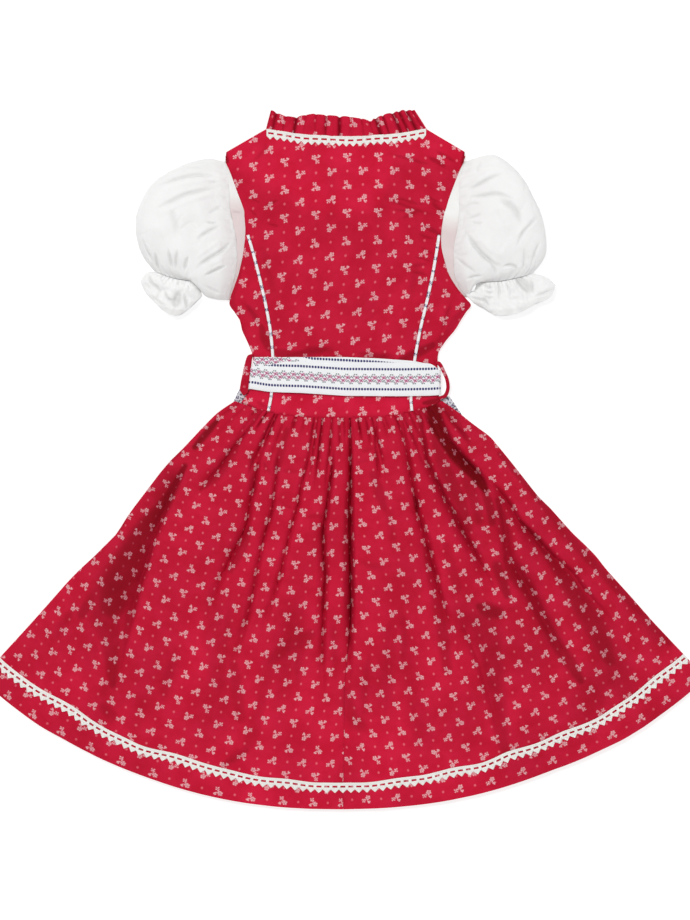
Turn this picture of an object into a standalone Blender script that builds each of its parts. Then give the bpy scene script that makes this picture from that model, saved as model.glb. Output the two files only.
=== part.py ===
"""A girl's dirndl laid flat with its back up.

The dress lies on its front. +X runs across it, +Y from the hem to the neck and +Z up,
and its underside rests on z = 0. The origin is the middle of the dress's outline, on the
surface that it lies on. Sizes are in millimetres and become metres in the meshes.

Layers from the surface up: the apron and the front trims, the front panels, the back
panels, and the trims and the tie that lie on the back. The puff sleeves are hollow.
Every cloth piece is a closed wall, and pieces that are sewn together stay SEAM apart.
"Left" is the left side as the back is looked at, which is the wearer's left too.
"""
import math

import bmesh
import bpy

# Driving dimensions
MM = 0.001
WALL = 1.2
TRIM = 1.0
SEAM = 0.3
LIFT = 0.45
HALF_SEAM = SEAM / 2

# Heights of the layers
TRIM_Z = 0.0
FRONT_Z = TRIM_Z + TRIM + SEAM
BACK_Z = FRONT_Z + WALL + SEAM

# Skirt
WAIST_HALF = 102.0
WAIST_X = -3.0
WAIST_Y = 58.5
WAIST_DIP = 16.5
HEM_HALF = 363.0
HEM_SIDE_Y = -217.5
HEM_DIP = 132.0
HEM_TILT = 2.0
HEM_POWER = 2.25
SIDE_BOW = 10.0
SIDE_BOW_AT = 0.15
SKIRT_COLUMNS = 49
GATHERS = 28
GATHER_HEIGHT = 0.9
GATHER_END = 0.17
LACE_TOP = 0.922
LACE_LOW = 0.948

# Rows of the skirt, as shares of the way from the waist seam to the hem
SKIRT_ROWS = (0, 0.045, 0.1, 0.17, 0.26, 0.36, 0.48, 0.61, 0.73, 0.84, LACE_TOP, LACE_LOW, 1)

# How high the back of the skirt lies above the front: share of the way down, height
SKIRT_LOFT = (
    (0.0, 2.3),
    (0.06, 4.6),
    (0.15, 7.6),
    (0.3, 9.4),
    (0.5, 9.0),
    (0.7, 7.2),
    (0.85, 5.2),
    (0.93, 3.8),
    (1.0, 3.0),
)

# The centre back seam: share of the way down, place across from -1 to 1
CENTRE_SEAM = (
    (0.0, 0.098),
    (0.1, 0.09),
    (0.22, 0.046),
    (0.5, 0.042),
    (0.68, 0.008),
    (1.0, 0.0),
)

# Valleys of the skirt's folds: where each starts and ends on the way down, its place
# across at the start, middle and end, its depth as a share of the loft, and its width
# on either side in millimetres halfway down
VALLEYS = (
    # start, end, across: start, middle, end, depth, left width, right width
    (0.24, 0.9, -0.965, -0.885, -0.80, 0.85, 26, 7),
    (0.0, 0.36, -0.77, -0.80, -0.84, 0.65, 9, 12),
    (0.0, 0.62, -0.62, -0.535, -0.54, 0.7, 8, 12),
    (0.04, 0.62, -0.47, -0.41, -0.37, 0.55, 9, 7),
    (0.0, 0.6, -0.21, -0.27, -0.32, 0.6, 8, 9),
    (0.0, 0.66, -0.06, -0.095, -0.085, 0.75, 7, 5),
    (0.0, 1.0, 0.1, 0.042, 0.0, 0.97, 6, 8),
    (0.0, 0.24, 0.34, 0.295, 0.28, 0.6, 6, 8),
    (0.0, 0.66, 0.66, 0.445, 0.43, 0.75, 7, 9),
    (0.0, 0.56, 0.85, 0.6, 0.62, 0.85, 9, 8),
    (0.02, 0.4, 0.9, 0.815, 0.81, 0.7, 8, 7),
    (0.03, 0.7, 0.93, 0.895, 0.905, 0.7, 12, 8),
    (0.6, 0.96, 0.735, 0.755, 0.765, 0.6, 12, 14),
    (0.72, 1.0, 0.965, 0.975, 0.98, 0.5, 12, 6),
    (0.5, 0.95, -0.25, -0.24, -0.22, 0.35, 20, 12),
    (0.62, 1.0, 0.27, 0.25, 0.24, 0.35, 14, 16),
    (0.7, 1.0, -0.6, -0.62, -0.63, 0.45, 14, 14),
)

# Bodice outline: y, left edge, right edge
BODICE_SIDES = (
    (303.5, -117.7, 122.5),
    (298.5, -117.5, 121.0),
    (291.5, -114.7, 117.6),
    (284.5, -111.8, 114.8),
    (267.5, -105.7, 108.3),
    (250.5, -99.4, 102.8),
    (243.5, -98.6, 100.8),
    (228.5, -97.7, 98.4),
    (213.5, -98.9, 98.4),
    (199.5, -101.2, 101.4),
    (184.5, -104.8, 106.3),
    (171.5, -109.4, 114.3),
    (161.5, -112.8, 122.6),
    (154.5, -113.4, 128.0),
    (147.5, -108.6, 123.2),
    (139.5, -103.2, 118.0),
    (129.5, -101.0, 112.0),
    (119.5, -96.5, 103.5),
    (109.5, -92.0, 96.4),
    (104.5, -90.6, 95.0),
    (98.0, -89.6, 94.7),
    (88.0, -90.0, 94.6),
    (79.5, -91.5, 94.6),
    (71.0, -92.9, 94.7),
    (66.0, -95.5, 95.2),
    (58.5, -101.8, 98.2),
)
TIP_Y = 224.5

# Seams between the back and the side backs, under the piping: y, left, right
PRINCESS = (
    (224.5, -95.1, 96.1),
    (208.0, -90.2, 93.7),
    (184.5, -84.1, 89.6),
    (159.5, -78.2, 84.2),
    (129.5, -72.5, 77.0),
    (102.5, -70.0, 72.0),
    (80.0, -70.4, 69.4),
    (62.0, -71.8, 67.5),
    (47.5, -75.0, 69.0),
)

# Neck
NECK_LEFT = -77.0
NECK_RIGHT = 83.5
NECK_END_Y = 330.5
NECK_DIP = 7.5
NECK_POWER = 2.0
FRONT_NECK_DIP = 66.0
FRONT_NECK_POWER = 2.4
CENTRE_FRONT_ROWS = (240.0, 205.0, 170.0, 135.0, 100.0, 70.0)
FRONT_WAIST_STEPS = 8
NECK_LACE_WIDTH = 10.0
NECK_LACE_REPEATS = 18

# Rows of the back: y at the side edge, share of the neck's shape, share of the waist's
BACK_ROWS = (
    (303.5, 1.0, 0.0),
    (296.5, 0.85, 0.0),
    (284.5, 0.75, 0.0),
    (267.5, 0.58, 0.0),
    (250.5, 0.4, 0.0),
    (236.0, 0.25, 0.0),
    (224.5, 0.17, 0.0),
    (208.0, 0.1, 0.0),
    (184.5, 0.03, 0.0),
    (159.5, 0.0, 0.0),
    (129.5, 0.0, 0.0),
    (102.5, 0.0, 0.1),
    (80.0, 0.0, 0.3),
    (62.0, 0.0, 0.6),
    (47.5, 0.0, 1.0),
)
BACK_COLUMNS = (0, 0.085, 0.17, 0.24, 0.32, 0.41, 0.5, 0.59, 0.68, 0.76, 0.835, 0.92, 1)
SIDE_COLUMNS = 2

# How high the bodice's back is crowned over its front
CROWN = 3.3
CROWN_POWER = 2.2
# A crowned wall is this much thicker upright than square to itself
SLOPE_ALLOWANCE = 1.03
ARMHOLE_RISE = 0.5

# Ruffle on the neck: place along the neck, height above it
RUFFLE_HEIGHT = (
    (0.0, 18.5),
    (0.09, 14.6),
    (0.15, 14.8),
    (0.28, 20.3),
    (0.5, 19.2),
    (0.63, 16.0),
    (0.685, 12.8),
    (0.7, 16.2),
    (0.8, 19.2),
    (0.92, 20.5),
    (1.0, 18.0),
)
RUFFLE_LEAN = 7.0
RUFFLE_WAVES = 15
RUFFLE_COLUMNS = 45
RUFFLE_SWING = 2.2
FRONT_RUFFLE_WAVES = 12
FRONT_RUFFLE_COLUMNS = 36
FRONT_RUFFLE_HEIGHT = 13.0
FRONT_RUFFLE_Z = 0.65
FRONT_RUFFLE_SWING = 0.6

# Piping
PIPING_WIDTH = 3.0
PIPING_HEIGHT = 1.2
PIPING_STEPS = 14

# Tie across the back: place across, top edge, bottom edge
TIE_OUTER = (
    (-92.0, 92.0, 70.5),
    (-74.0, 94.0, 67.6),
    (-60.0, 98.0, 67.0),
    (-43.0, 97.8, 66.6),
    (2.0, 97.4, 63.6),
    (57.0, 96.8, 63.2),
    (89.0, 96.2, 63.8),
    (96.0, 89.6, 64.4),
)
TIE_INNER = (
    (-88.0, 102.4, 72.0),
    (-66.0, 102.2, 70.0),
    (-40.0, 102.3, 69.0),
    (0.0, 102.4, 68.0),
    (36.0, 101.0, 68.0),
    (70.0, 98.6, 68.0),
    (86.0, 95.4, 68.5),
)
TIE_LEFT_END = -94.0
TIE_RIGHT_END = 96.8
TIE_LEFT_SKEW = 2.2
TIE_TURNED_Z = 3.0
TIE_TURNED_STEP = 2.5
TIE_REACH = 2.0
TIE_Y = 82.0
TIE_COLUMNS = 18
TIE_BENDS = 5

# Belt loops at the side seams: points of the outer edge
LOOP_LEFT = (
    (-91.5, 105.6),
    (-95.8, 103.2),
    (-98.8, 93.5),
    (-100.4, 85.9),
    (-102.3, 76.7),
    (-103.0, 69.5),
    (-99.6, 63.8),
)
LOOP_RIGHT = (
    (93.4, 98.6),
    (98.0, 96.8),
    (102.6, 87.9),
    (105.8, 79.9),
    (106.7, 70.7),
    (103.8, 62.8),
    (97.0, 59.6),
)
LOOP_WIDTH = 3.4
LOOP_THICK = 2.2
LOOP_Z = 4.55

# Apron under the front: its outline from its upper left corner, clockwise
APRON = (
    (-103.0, 71.5),
    (107.0, 63.0),
    (120.0, 43.5),
    (232.0, -230.5),
    (120.0, -256.0),
    (0.0, -266.0),
    (-120.0, -256.0),
    (-231.0, -230.5),
    (-111.0, 55.5),
)
WAISTBAND_LEFT = -85.0
WAISTBAND_RIGHT = 92.0
WAISTBAND_WIDTH = 32.0

# Seams between the armhole strips and the sleeves: y, place across
SLEEVE_SEAM_LEFT = (
    (298.5, -119.6),
    (284.5, -115.6),
    (267.5, -113.7),
    (250.5, -112.8),
    (229.5, -108.5),
    (214.5, -106.2),
    (201.5, -105.9),
    (187.5, -107.3),
    (172.5, -111.2),
    (159.5, -115.6),
)
SLEEVE_SEAM_RIGHT = (
    (298.5, 123.4),
    (291.5, 120.5),
    (279.5, 116.9),
    (261.5, 116.2),
    (243.5, 115.8),
    (228.5, 114.0),
    (213.5, 111.2),
    (199.5, 110.7),
    (184.5, 111.8),
    (171.5, 117.2),
    (162.5, 124.3),
)

# Puff outlines from the shoulder to the cuff, and from the underarm to the cuff
PUFF_OUTER_LEFT = (
    (-136.0, 301.0),
    (-159.0, 295.0),
    (-180.0, 284.0),
    (-193.0, 273.0),
    (-203.0, 255.0),
    (-207.0, 240.0),
    (-206.5, 222.0),
    (-200.5, 203.5),
    (-189.0, 188.5),
)
PUFF_INNER_LEFT = ((-127.0, 159.9), (-139.0, 164.5), (-142.5, 178.5))
PUFF_OUTER_RIGHT = (
    (135.0, 302.5),
    (149.0, 305.0),
    (160.0, 300.5),
    (172.0, 290.5),
    (182.0, 278.0),
    (189.5, 263.5),
    (197.0, 248.0),
    (202.0, 229.0),
    (203.5, 209.5),
    (199.0, 197.0),
    (190.5, 186.5),
)
PUFF_INNER_RIGHT = ((127.5, 166.5), (130.5, 172.5), (134.0, 177.5))
CUFF_BOW = 3.0
STRIP_GAP = 0.6
STRIP_LOW = 0.6
STRIP_HIGH_AT_EDGE = 4.4
STRIP_HIGH_AT_SLEEVE = 5.9
STRIP_MIDDLE = 0.45

# Height of a puff: share of the way from the armhole to the cuff, height
PUFF_HEIGHT = (
    (0.0, 6.5),
    (0.07, 15.0),
    (0.2, 26.0),
    (0.42, 32.0),
    (0.65, 30.0),
    (0.85, 20.0),
    (1.0, 11.0),
)
PUFF_MIDDLE = 0.32
PUFF_COLUMNS = 32
PUFF_UNDER = 8
PUFF_ROWS = (0, 0.07, 0.17, 0.3, 0.46, 0.62, 0.78, 0.9, 1)
PUFF_GATHERS = 11
PUFF_GATHER_HEIGHT = 1.5
CUFF_GATHERS = 8
CUFF_GATHER_HEIGHT = 1.6

# Frills below the cuffs: side edges and far edge
FRILL_SIDE_LEFT = ((-197.0, 186.5), (-203.0, 178.5))
FRILL_FAR_LEFT = (
    (-203.0, 178.5),
    (-198.0, 167.5),
    (-189.5, 158.0),
    (-178.0, 147.5),
    (-166.0, 143.5),
    (-154.0, 151.0),
    (-140.8, 163.5),
)
FRILL_INNER_LEFT = ((-142.0, 170.0), (-140.8, 163.5))
FRILL_SIDE_RIGHT = ((203.0, 183.0), (213.0, 174.5))
FRILL_FAR_RIGHT = (
    (213.0, 174.5),
    (207.0, 161.5),
    (194.0, 156.0),
    (180.0, 148.0),
    (168.0, 143.5),
    (154.0, 142.0),
    (143.0, 149.0),
    (132.5, 159.5),
)
FRILL_INNER_RIGHT = ((132.5, 169.0), (132.5, 159.5))
FRILL_ROWS = (0, 0.35, 0.7, 1)
FRILL_WAVES = 9
FRILL_SWING = 2.6
FRILL_SWING_AT_CUFF = 0.9
FRILL_MIDDLE = 0.35
FRILL_HEIGHT = 13.0

# Colours: name, base colour, roughness
RED = ("red_print_cotton", (0.56, 0.012, 0.035, 1), 0.75)
WHITE = ("white_cotton", (0.86, 0.86, 0.85, 1), 0.8)
IVORY = ("ivory_lace", (0.88, 0.85, 0.78, 1), 0.85)
BAND = ("woven_band", (0.8, 0.8, 0.84, 1), 0.6)
GREY = ("grey_apron_cotton", (0.62, 0.62, 0.66, 1), 0.8)


def clear_scene():
    for thing in list(bpy.data.objects):
        bpy.data.objects.remove(thing, do_unlink=True)


def material(finish):
    name, colour, roughness = finish
    found = bpy.data.materials.get(name)
    if found:
        return found
    made = bpy.data.materials.new(name)
    made.use_nodes = True
    shader = made.node_tree.nodes["Principled BSDF"]
    shader.inputs["Base Color"].default_value = colour
    shader.inputs["Roughness"].default_value = roughness
    shader.inputs["Metallic"].default_value = 0.0
    return made


def lerp(a, b, share):
    return a + (b - a) * share


def smooth(low, high, value):
    """0 below low, 1 above high, and a soft step between them."""
    share = min(1.0, max(0.0, (value - low) / (high - low)))
    return share * share * (3 - 2 * share)


def table(rows, value, column=1):
    """Read a column of a table at a value of its first column, with straight lines between rows."""
    up = rows[0][0] < rows[-1][0]
    ordered = rows if up else rows[::-1]
    if value <= ordered[0][0]:
        return ordered[0][column]
    for low, high in zip(ordered, ordered[1:]):
        if value <= high[0]:
            share = (value - low[0]) / (high[0] - low[0])
            return lerp(low[column], high[column], share)
    return ordered[-1][column]


def along(points, share):
    """A point at a share of the length of a smooth curve through the points."""
    lengths = [0.0]
    for a, b in zip(points, points[1:]):
        lengths.append(lengths[-1] + math.dist(a, b))
    reach = min(max(share, 0.0), 1.0) * lengths[-1]
    index = 0
    while index < len(points) - 2 and reach > lengths[index + 1]:
        index += 1
    part = (reach - lengths[index]) / (lengths[index + 1] - lengths[index])
    b, c = points[index], points[index + 1]
    a = points[index - 1] if index else [2 * p - q for p, q in zip(b, c)]
    last = index + 2 > len(points) - 1
    d = [2 * q - p for p, q in zip(b, c)] if last else points[index + 2]
    return tuple(
        q + 0.5 * part * (r - p + part * (2 * p - 5 * q + 4 * r - s + part * (3 * (q - r) + s - p)))
        for p, q, r, s in zip(a, b, c, d)
    )


def body(name, vertices, faces, finish):
    """Make one closed, outward facing object from millimetre vertices."""
    made = bmesh.new()
    points = [made.verts.new([c * MM for c in v]) for v in vertices]
    for face in faces:
        made.faces.new([points[i] for i in face])
    bmesh.ops.triangulate(made, faces=made.faces[:], quad_method="FIXED")
    bmesh.ops.recalc_face_normals(made, faces=made.faces[:])
    mesh = bpy.data.meshes.new(name)
    made.to_mesh(mesh)
    made.free()
    mesh.materials.append(material(finish))
    mesh.shade_smooth()
    mesh.set_sharp_from_angle(angle=math.radians(50))
    thing = bpy.data.objects.new(name, mesh)
    bpy.context.collection.objects.link(thing)
    return thing


def slope_factor(grid, i, j):
    """How much longer a vertical line through the cloth is than one square to it."""
    up = grid[max(i - 1, 0)][j]
    down = grid[min(i + 1, len(grid) - 1)][j]
    left = grid[i][max(j - 1, 0)]
    right = grid[i][min(j + 1, len(grid[0]) - 1)]
    a = [q - p for p, q in zip(up, down)]
    b = [q - p for p, q in zip(left, right)]
    nx = a[1] * b[2] - a[2] * b[1]
    ny = a[2] * b[0] - a[0] * b[2]
    nz = a[0] * b[1] - a[1] * b[0]
    size = math.sqrt(nx * nx + ny * ny + nz * nz)
    return min(size / max(abs(nz), 1e-9), 2.0)


def upper_of(grid, wall):
    """The upper face of a wall whose lower face is the grid."""
    return [
        [(x, y, z + wall * slope_factor(grid, i, j)) for j, (x, y, z) in enumerate(row)]
        for i, row in enumerate(grid)
    ]


def panel(name, grid, wall, finish):
    """A wall of cloth whose lower face is a grid of points. Returns its upper face."""
    upper = upper_of(grid, wall)
    across = len(grid[0])
    down = len(grid)
    vertices = [p for row in grid for p in row] + [p for row in upper for p in row]
    top = across * down
    faces = []
    for i in range(down - 1):
        for j in range(across - 1):
            a = i * across + j
            quad = (a, a + 1, a + across + 1, a + across)
            faces.append(tuple(top + v for v in quad))
            faces.append((quad[0], quad[3], quad[2], quad[1]))
    rim = [j for j in range(across)]
    rim += [i * across + across - 1 for i in range(1, down)]
    rim += [(down - 1) * across + j for j in range(across - 2, -1, -1)]
    rim += [i * across for i in range(down - 2, 0, -1)]
    for a, b in zip(rim, rim[1:] + rim[:1]):
        faces.append((a, b, top + b, top + a))
    body(name, vertices, faces, finish)
    return upper


def plate(name, outline, low, wall, finish):
    """A flat wall with the given outline."""
    count = len(outline)
    vertices = [(x, y, low) for x, y in outline] + [(x, y, low + wall) for x, y in outline]
    faces = [tuple(range(count))[::-1], tuple(range(count, 2 * count))]
    for a in range(count):
        b = (a + 1) % count
        faces.append((a, b, count + b, count + a))
    body(name, vertices, faces, finish)


def flat_between(name, outer, inner, low, wall, finish):
    """A flat wall between two lines of points, crossed by nearly level edges."""
    rim = outer + inner[::-1]
    count = len(rim)
    vertices = [(x, y, low) for x, y in rim] + [(x, y, low + wall) for x, y in rim]
    faces = []
    i = 0
    j = 0
    while j < len(inner) - 1:
        ends = j == len(inner) - 2
        if i < len(outer) - 1 and (ends or outer[i + 1][1] >= inner[j + 1][1]):
            face = (i, i + 1, count - 1 - j)
            i += 1
        else:
            face = (i, count - 2 - j, count - 1 - j)
            j += 1
        faces.append(face)
        faces.append(tuple(count + v for v in face[::-1]))
    for a in range(count):
        b = (a + 1) % count
        faces.append((a, b, count + b, count + a))
    body(name, vertices, faces, finish)


def tube(name, plan, rows, heights, wall, finish):
    """A hollow sleeve of cloth, open at both ends.

    plan(w, t) gives x and y, heights(w, t) the lower and upper z of its outer face, at a
    place w across it and t along it. At w = 0 and w = 1 upper and lower face meet.
    """
    over = [0.5 * (k / PUFF_COLUMNS) + 0.25 * (1 - math.cos(math.pi * k / PUFF_COLUMNS))
            for k in range(PUFF_COLUMNS + 1)]
    under = [0.5 * (1 + math.cos(math.pi * k / PUFF_UNDER)) for k in range(1, PUFF_UNDER)]
    around = [(w, True) for w in over] + [(w, False) for w in under]
    count = len(around)
    loops = []
    for inside in (False, True):
        for t in rows:
            width = math.dist(plan(0, t), plan(1, t))
            inset = wall / width if inside else 0.0
            for w, is_upper in around:
                low, high = heights(w, t)
                half = (high - low) / 2
                if inside:
                    half = max(half - wall, 0.3 * half)
                middle = (high + low) / 2
                x, y = plan(inset + (1 - 2 * inset) * w, t)
                loops.append((x, y, middle + half if is_upper else middle - half))
    inner = count * len(rows)
    faces = []
    for i in range(len(rows) - 1):
        for k in range(count):
            a = i * count + k
            b = i * count + (k + 1) % count
            faces.append((a, b, b + count, a + count))
            faces.append((inner + a, inner + a + count, inner + b + count, inner + b))
    for i in (0, len(rows) - 1):
        for k in range(count):
            a = i * count + k
            b = i * count + (k + 1) % count
            faces.append((a, b, inner + b, inner + a))
    body(name, loops, faces, finish)


def even(share):
    """Place across the hem for an even step along it, from -1 to 1."""
    return share * (1 + 0.09 * (1 - abs(share) ** 2.5))


def waist_seam(t):
    x = WAIST_X + WAIST_HALF * t
    y = WAIST_Y - WAIST_DIP * (1 - abs(t) ** 3)
    return x, y


def waist_y(x):
    return waist_seam(max(-1.0, min(1.0, (x - WAIST_X) / WAIST_HALF)))[1]


def skirt_plan(t, v):
    """Where a place on the laid skirt lies: t across, v from the waist to the hem."""
    x0, y0 = waist_seam(t)
    x1 = HEM_HALF * t
    y1 = HEM_SIDE_Y - HEM_DIP * (1 - abs(t) ** HEM_POWER) + HEM_TILT * t
    reach = v / SIDE_BOW_AT
    bow = math.copysign(SIDE_BOW, t) * t ** 4 * reach * math.exp(1 - reach)
    return lerp(x0, x1, v) + bow, lerp(y0, y1, v)


def valley_shape(row, t, v):
    """How deep a valley is at a place, as a share of the loft."""
    start, end, t0, t1, t2, depth, left, right = row
    s = (v - start) / (end - start)
    centre = t0 * (1 - s) * (1 - 2 * s) + t1 * 4 * s * (1 - s) + t2 * s * (2 * s - 1)
    half = lerp(WAIST_HALF, HEM_HALF, v)
    off = (t - centre) * half
    width = left if off < 0 else right
    width *= 0.45 + 1.1 * min(v, 0.8)
    fade = smooth(start - 0.08, start + 0.06, v) * (1 - smooth(lerp(start, end, 0.6), end + 0.04, v))
    if end >= 1.0:
        fade = smooth(start - 0.08, start + 0.06, v) * (1 - 0.55 * smooth(0.7, 1.0, v))
    return depth * fade * math.exp(-((off / width) ** 2))


def skirt_height(t, v):
    """Height of the lower face of the skirt's back."""
    side = 1 - abs(t) ** 8
    loft = table(SKIRT_LOFT, v) * (1 + 0.13 * math.sin(7.3 * t + 0.8) * math.sin(3.1 * v + 0.6))
    for row in VALLEYS:
        if row[0] - 0.09 < v < row[1] + 0.06 or row[1] >= 1.0:
            loft *= 1 - valley_shape(row, t, v)
    gather = math.sin(math.pi * GATHERS * t + 1.6 * math.sin(5.0 * t))
    fade = max(0.0, 1 - v / GATHER_END) ** 1.5
    loft += GATHER_HEIGHT * gather * fade
    return BACK_Z + side * max(loft, 0.0)


def build_skirt():
    halves = {}
    for side, first, last in (("left", -1.0, 0.0), ("right", 0.0, 1.0)):
        grid = []
        for v in SKIRT_ROWS:
            seam = table(CENTRE_SEAM, v)
            half = lerp(WAIST_HALF, HEM_HALF, v)
            row = []
            for j in range(SKIRT_COLUMNS + 1):
                share = even(lerp(first, last, j / SKIRT_COLUMNS))
                shift = HALF_SEAM / half
                if side == "left":
                    t = lerp(-1.0, seam - shift, share + 1)
                else:
                    t = lerp(seam + shift, 1.0, share)
                x, y = skirt_plan(t, v)
                row.append((x, y, skirt_height(t, v)))
            grid.append(row)
        halves[side] = panel("skirt_back_" + side, grid, WALL, RED)
    edge = []
    for v in (0, 0.04, 0.08, 0.12, 0.17, 0.24, 0.34, 0.5, 0.75, 1):
        edge.append(v)
    outline = [skirt_plan(-1, v) for v in edge]
    outline += [skirt_plan(k / 16 - 1, 1) for k in range(1, 32)]
    outline += [skirt_plan(1, v) for v in edge[::-1]]
    outline += [waist_seam(1 - k / 8) for k in range(1, 16)]
    plate("skirt_front", outline, FRONT_Z, WALL, RED)
    return halves


def build_hem_lace(halves):
    """One scallop to each column of the skirt, on points of the skirt moved up."""
    top_row = SKIRT_ROWS.index(LACE_TOP)
    low_row = SKIRT_ROWS.index(LACE_LOW)
    top = halves["left"][top_row] + halves["right"][top_row][1:]
    low = halves["left"][low_row] + halves["right"][low_row][1:]
    scallops("hem_lace_back", top, low)
    steps = 32
    grid = []
    for v in (LACE_TOP, LACE_LOW):
        row = []
        for k in range(steps + 1):
            t = lerp(-0.995, 0.995, k / steps)
            x, y = skirt_plan(t, v)
            row.append((x, y, TRIM_Z))
        grid.append(row)
    panel("hem_lace_front", grid, TRIM, IVORY)


def scallops(name, top, low):
    """A ribbon of lace between two rows of points, with a point between every two."""
    count = len(top) - 1
    upper = [(x, y, z + LIFT) for x, y, z in top]
    notch = [tuple(lerp(a, b, 0.62) for a, b in zip(p, q)) for p, q in zip(top, low)]
    notch = [(x, y, z + LIFT) for x, y, z in notch]
    tips = [tuple((a + b) / 2 for a, b in zip(p, q)) for p, q in zip(low, low[1:])]
    tips = [(x, y, z + LIFT) for x, y, z in tips]
    flat = upper + notch + tips
    size = len(flat)
    vertices = flat + [(x, y, z + TRIM) for x, y, z in flat]
    faces = []
    rim = list(range(count + 1))
    edge = []
    for k in range(count):
        a, b = k, k + 1
        c, d = count + 1 + k, count + 2 + k
        tip = 2 * count + 2 + k
        for face in ((a, b, tip), (a, tip, c), (b, d, tip)):
            faces.append(tuple(size + v for v in face))
            faces.append(face[::-1])
        edge += [c, tip]
    edge.append(2 * count + 1)
    rim += edge[::-1]
    for a, b in zip(rim, rim[1:] + rim[:1]):
        faces.append((a, b, size + b, size + a))
    body(name, vertices, faces, IVORY)


def side_x(y, side):
    return table(BODICE_SIDES, y, 1 if side < 0 else 2)


def princess_x(y, side):
    return table(PRINCESS, y, 1 if side < 0 else 2)


def neck_y(x, dip=NECK_DIP, power=NECK_POWER):
    """The neckline, which dips between its two ends."""
    share = (x - (NECK_LEFT + NECK_RIGHT) / 2) / ((NECK_RIGHT - NECK_LEFT) / 2)
    share = max(-1.0, min(1.0, share))
    return NECK_END_Y - dip * (1 - abs(share) ** power)


def shoulder_y(x):
    """The top of the back: shoulders rising to the neck's ends, and the neckline."""
    if x < NECK_LEFT:
        share = (x - BODICE_SIDES[0][1]) / (NECK_LEFT - BODICE_SIDES[0][1])
        return lerp(BODICE_SIDES[0][0], NECK_END_Y, share)
    if x > NECK_RIGHT:
        share = (BODICE_SIDES[0][2] - x) / (BODICE_SIDES[0][2] - NECK_RIGHT)
        return lerp(BODICE_SIDES[0][0], NECK_END_Y, share)
    return neck_y(x)


def back_height(x, y):
    """Height of the lower face of the bodice's back."""
    left = side_x(y, -1)
    right = side_x(y, 1)
    place = (x - (left + right) / 2) / ((right - left) / 2)
    place = max(-1.0, min(1.0, place))
    taper = 0.35 + 0.65 * smooth(335, 280, y)
    taper *= 1 - 0.3 * smooth(125, 100, y)
    armhole = smooth(150, 175, y)
    rise = ARMHOLE_RISE * armhole * abs(place) ** 3
    return BACK_Z + 0.1 + rise + CROWN * taper * (1 - abs(place) ** CROWN_POWER)


def back_edge(y, side):
    if y > TIP_Y:
        return side_x(y, side)
    return princess_x(y, side) - side * HALF_SEAM


def build_back():
    grid = []
    for y, neck, waist in BACK_ROWS:
        left = back_edge(y, -1)
        right = back_edge(y, 1)
        row = []
        for share in BACK_COLUMNS:
            x = lerp(left, right, share)
            x0 = lerp(BODICE_SIDES[0][1], BODICE_SIDES[0][2], share)
            shape = neck * (shoulder_y(x0) - BODICE_SIDES[0][0])
            drop = waist * (waist_y(x) + SEAM - BACK_ROWS[-1][0])
            place = y + shape + drop
            row.append((x, place, back_height(x, place)))
        grid.append(row)
    panel("bodice_back", grid, WALL, RED)


def build_side_back(side, name):
    """The panel between the piping and the side seam, from the armhole to the waist."""
    side_last = BODICE_SIDES[-1][0]
    seam_last = PRINCESS[-1][0]
    shares = [(TIP_Y - row[0]) / (TIP_Y - seam_last) for row in PRINCESS]
    corners = [row[0] for row in BODICE_SIDES[:-1] if row[0] < TIP_Y - 4]
    shares += [(TIP_Y - y) / (TIP_Y - side_last) for y in corners]
    grid = []
    for share in sorted(shares):
        outer_y = lerp(TIP_Y, side_last, share)
        inner_y = lerp(TIP_Y, seam_last, share)
        outer = side_x(outer_y, side)
        inner = princess_x(inner_y, side) + side * HALF_SEAM
        row = []
        for k in range(SIDE_COLUMNS + 1):
            part = k / SIDE_COLUMNS
            x = lerp(outer, inner, part)
            y = lerp(outer_y, inner_y, part)
            if share > 0.999:
                y = waist_y(x) + SEAM
            row.append((x, y, back_height(x, y)))
        grid.append(row if side < 0 else row[::-1])
    panel(name, grid, WALL, RED)


def build_bodice_front(side, name):
    """Half of the front, from the centre front to the side seam, lying flat."""
    centre = (NECK_LEFT + NECK_RIGHT) / 2 + side * HALF_SEAM
    steps = FRONT_RUFFLE_COLUMNS // 2
    inner = []
    for k in range(steps, 0, -1):
        share = 0.5 + side * 0.5 * k / steps
        inner.append(neck_point(share, FRONT_NECK_DIP, FRONT_NECK_POWER))
    inner.append((centre, neck_y(centre, FRONT_NECK_DIP, FRONT_NECK_POWER)))
    inner += [(centre, y) for y in CENTRE_FRONT_ROWS]
    inner.append((centre, waist_y(centre) + SEAM))
    outer = [(side_x(row[0], side), row[0]) for row in BODICE_SIDES[:-1]]
    for k in range(FRONT_WAIST_STEPS):
        x = lerp(side_x(BODICE_SIDES[-1][0], side), centre, k / FRONT_WAIST_STEPS)
        outer.append((x, waist_y(x) + SEAM))
    flat_between(name, outer, inner, FRONT_Z, WALL, RED)


def neck_point(share, dip, power):
    """A point of the neckline, with even steps between the ends."""
    angle = math.pi * (share - 0.5)
    place = lerp(2 * share - 1, math.sin(angle), 0.4)
    x = (NECK_LEFT + NECK_RIGHT) / 2 + (NECK_RIGHT - NECK_LEFT) / 2 * place
    return x, neck_y(x, dip, power)


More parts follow.
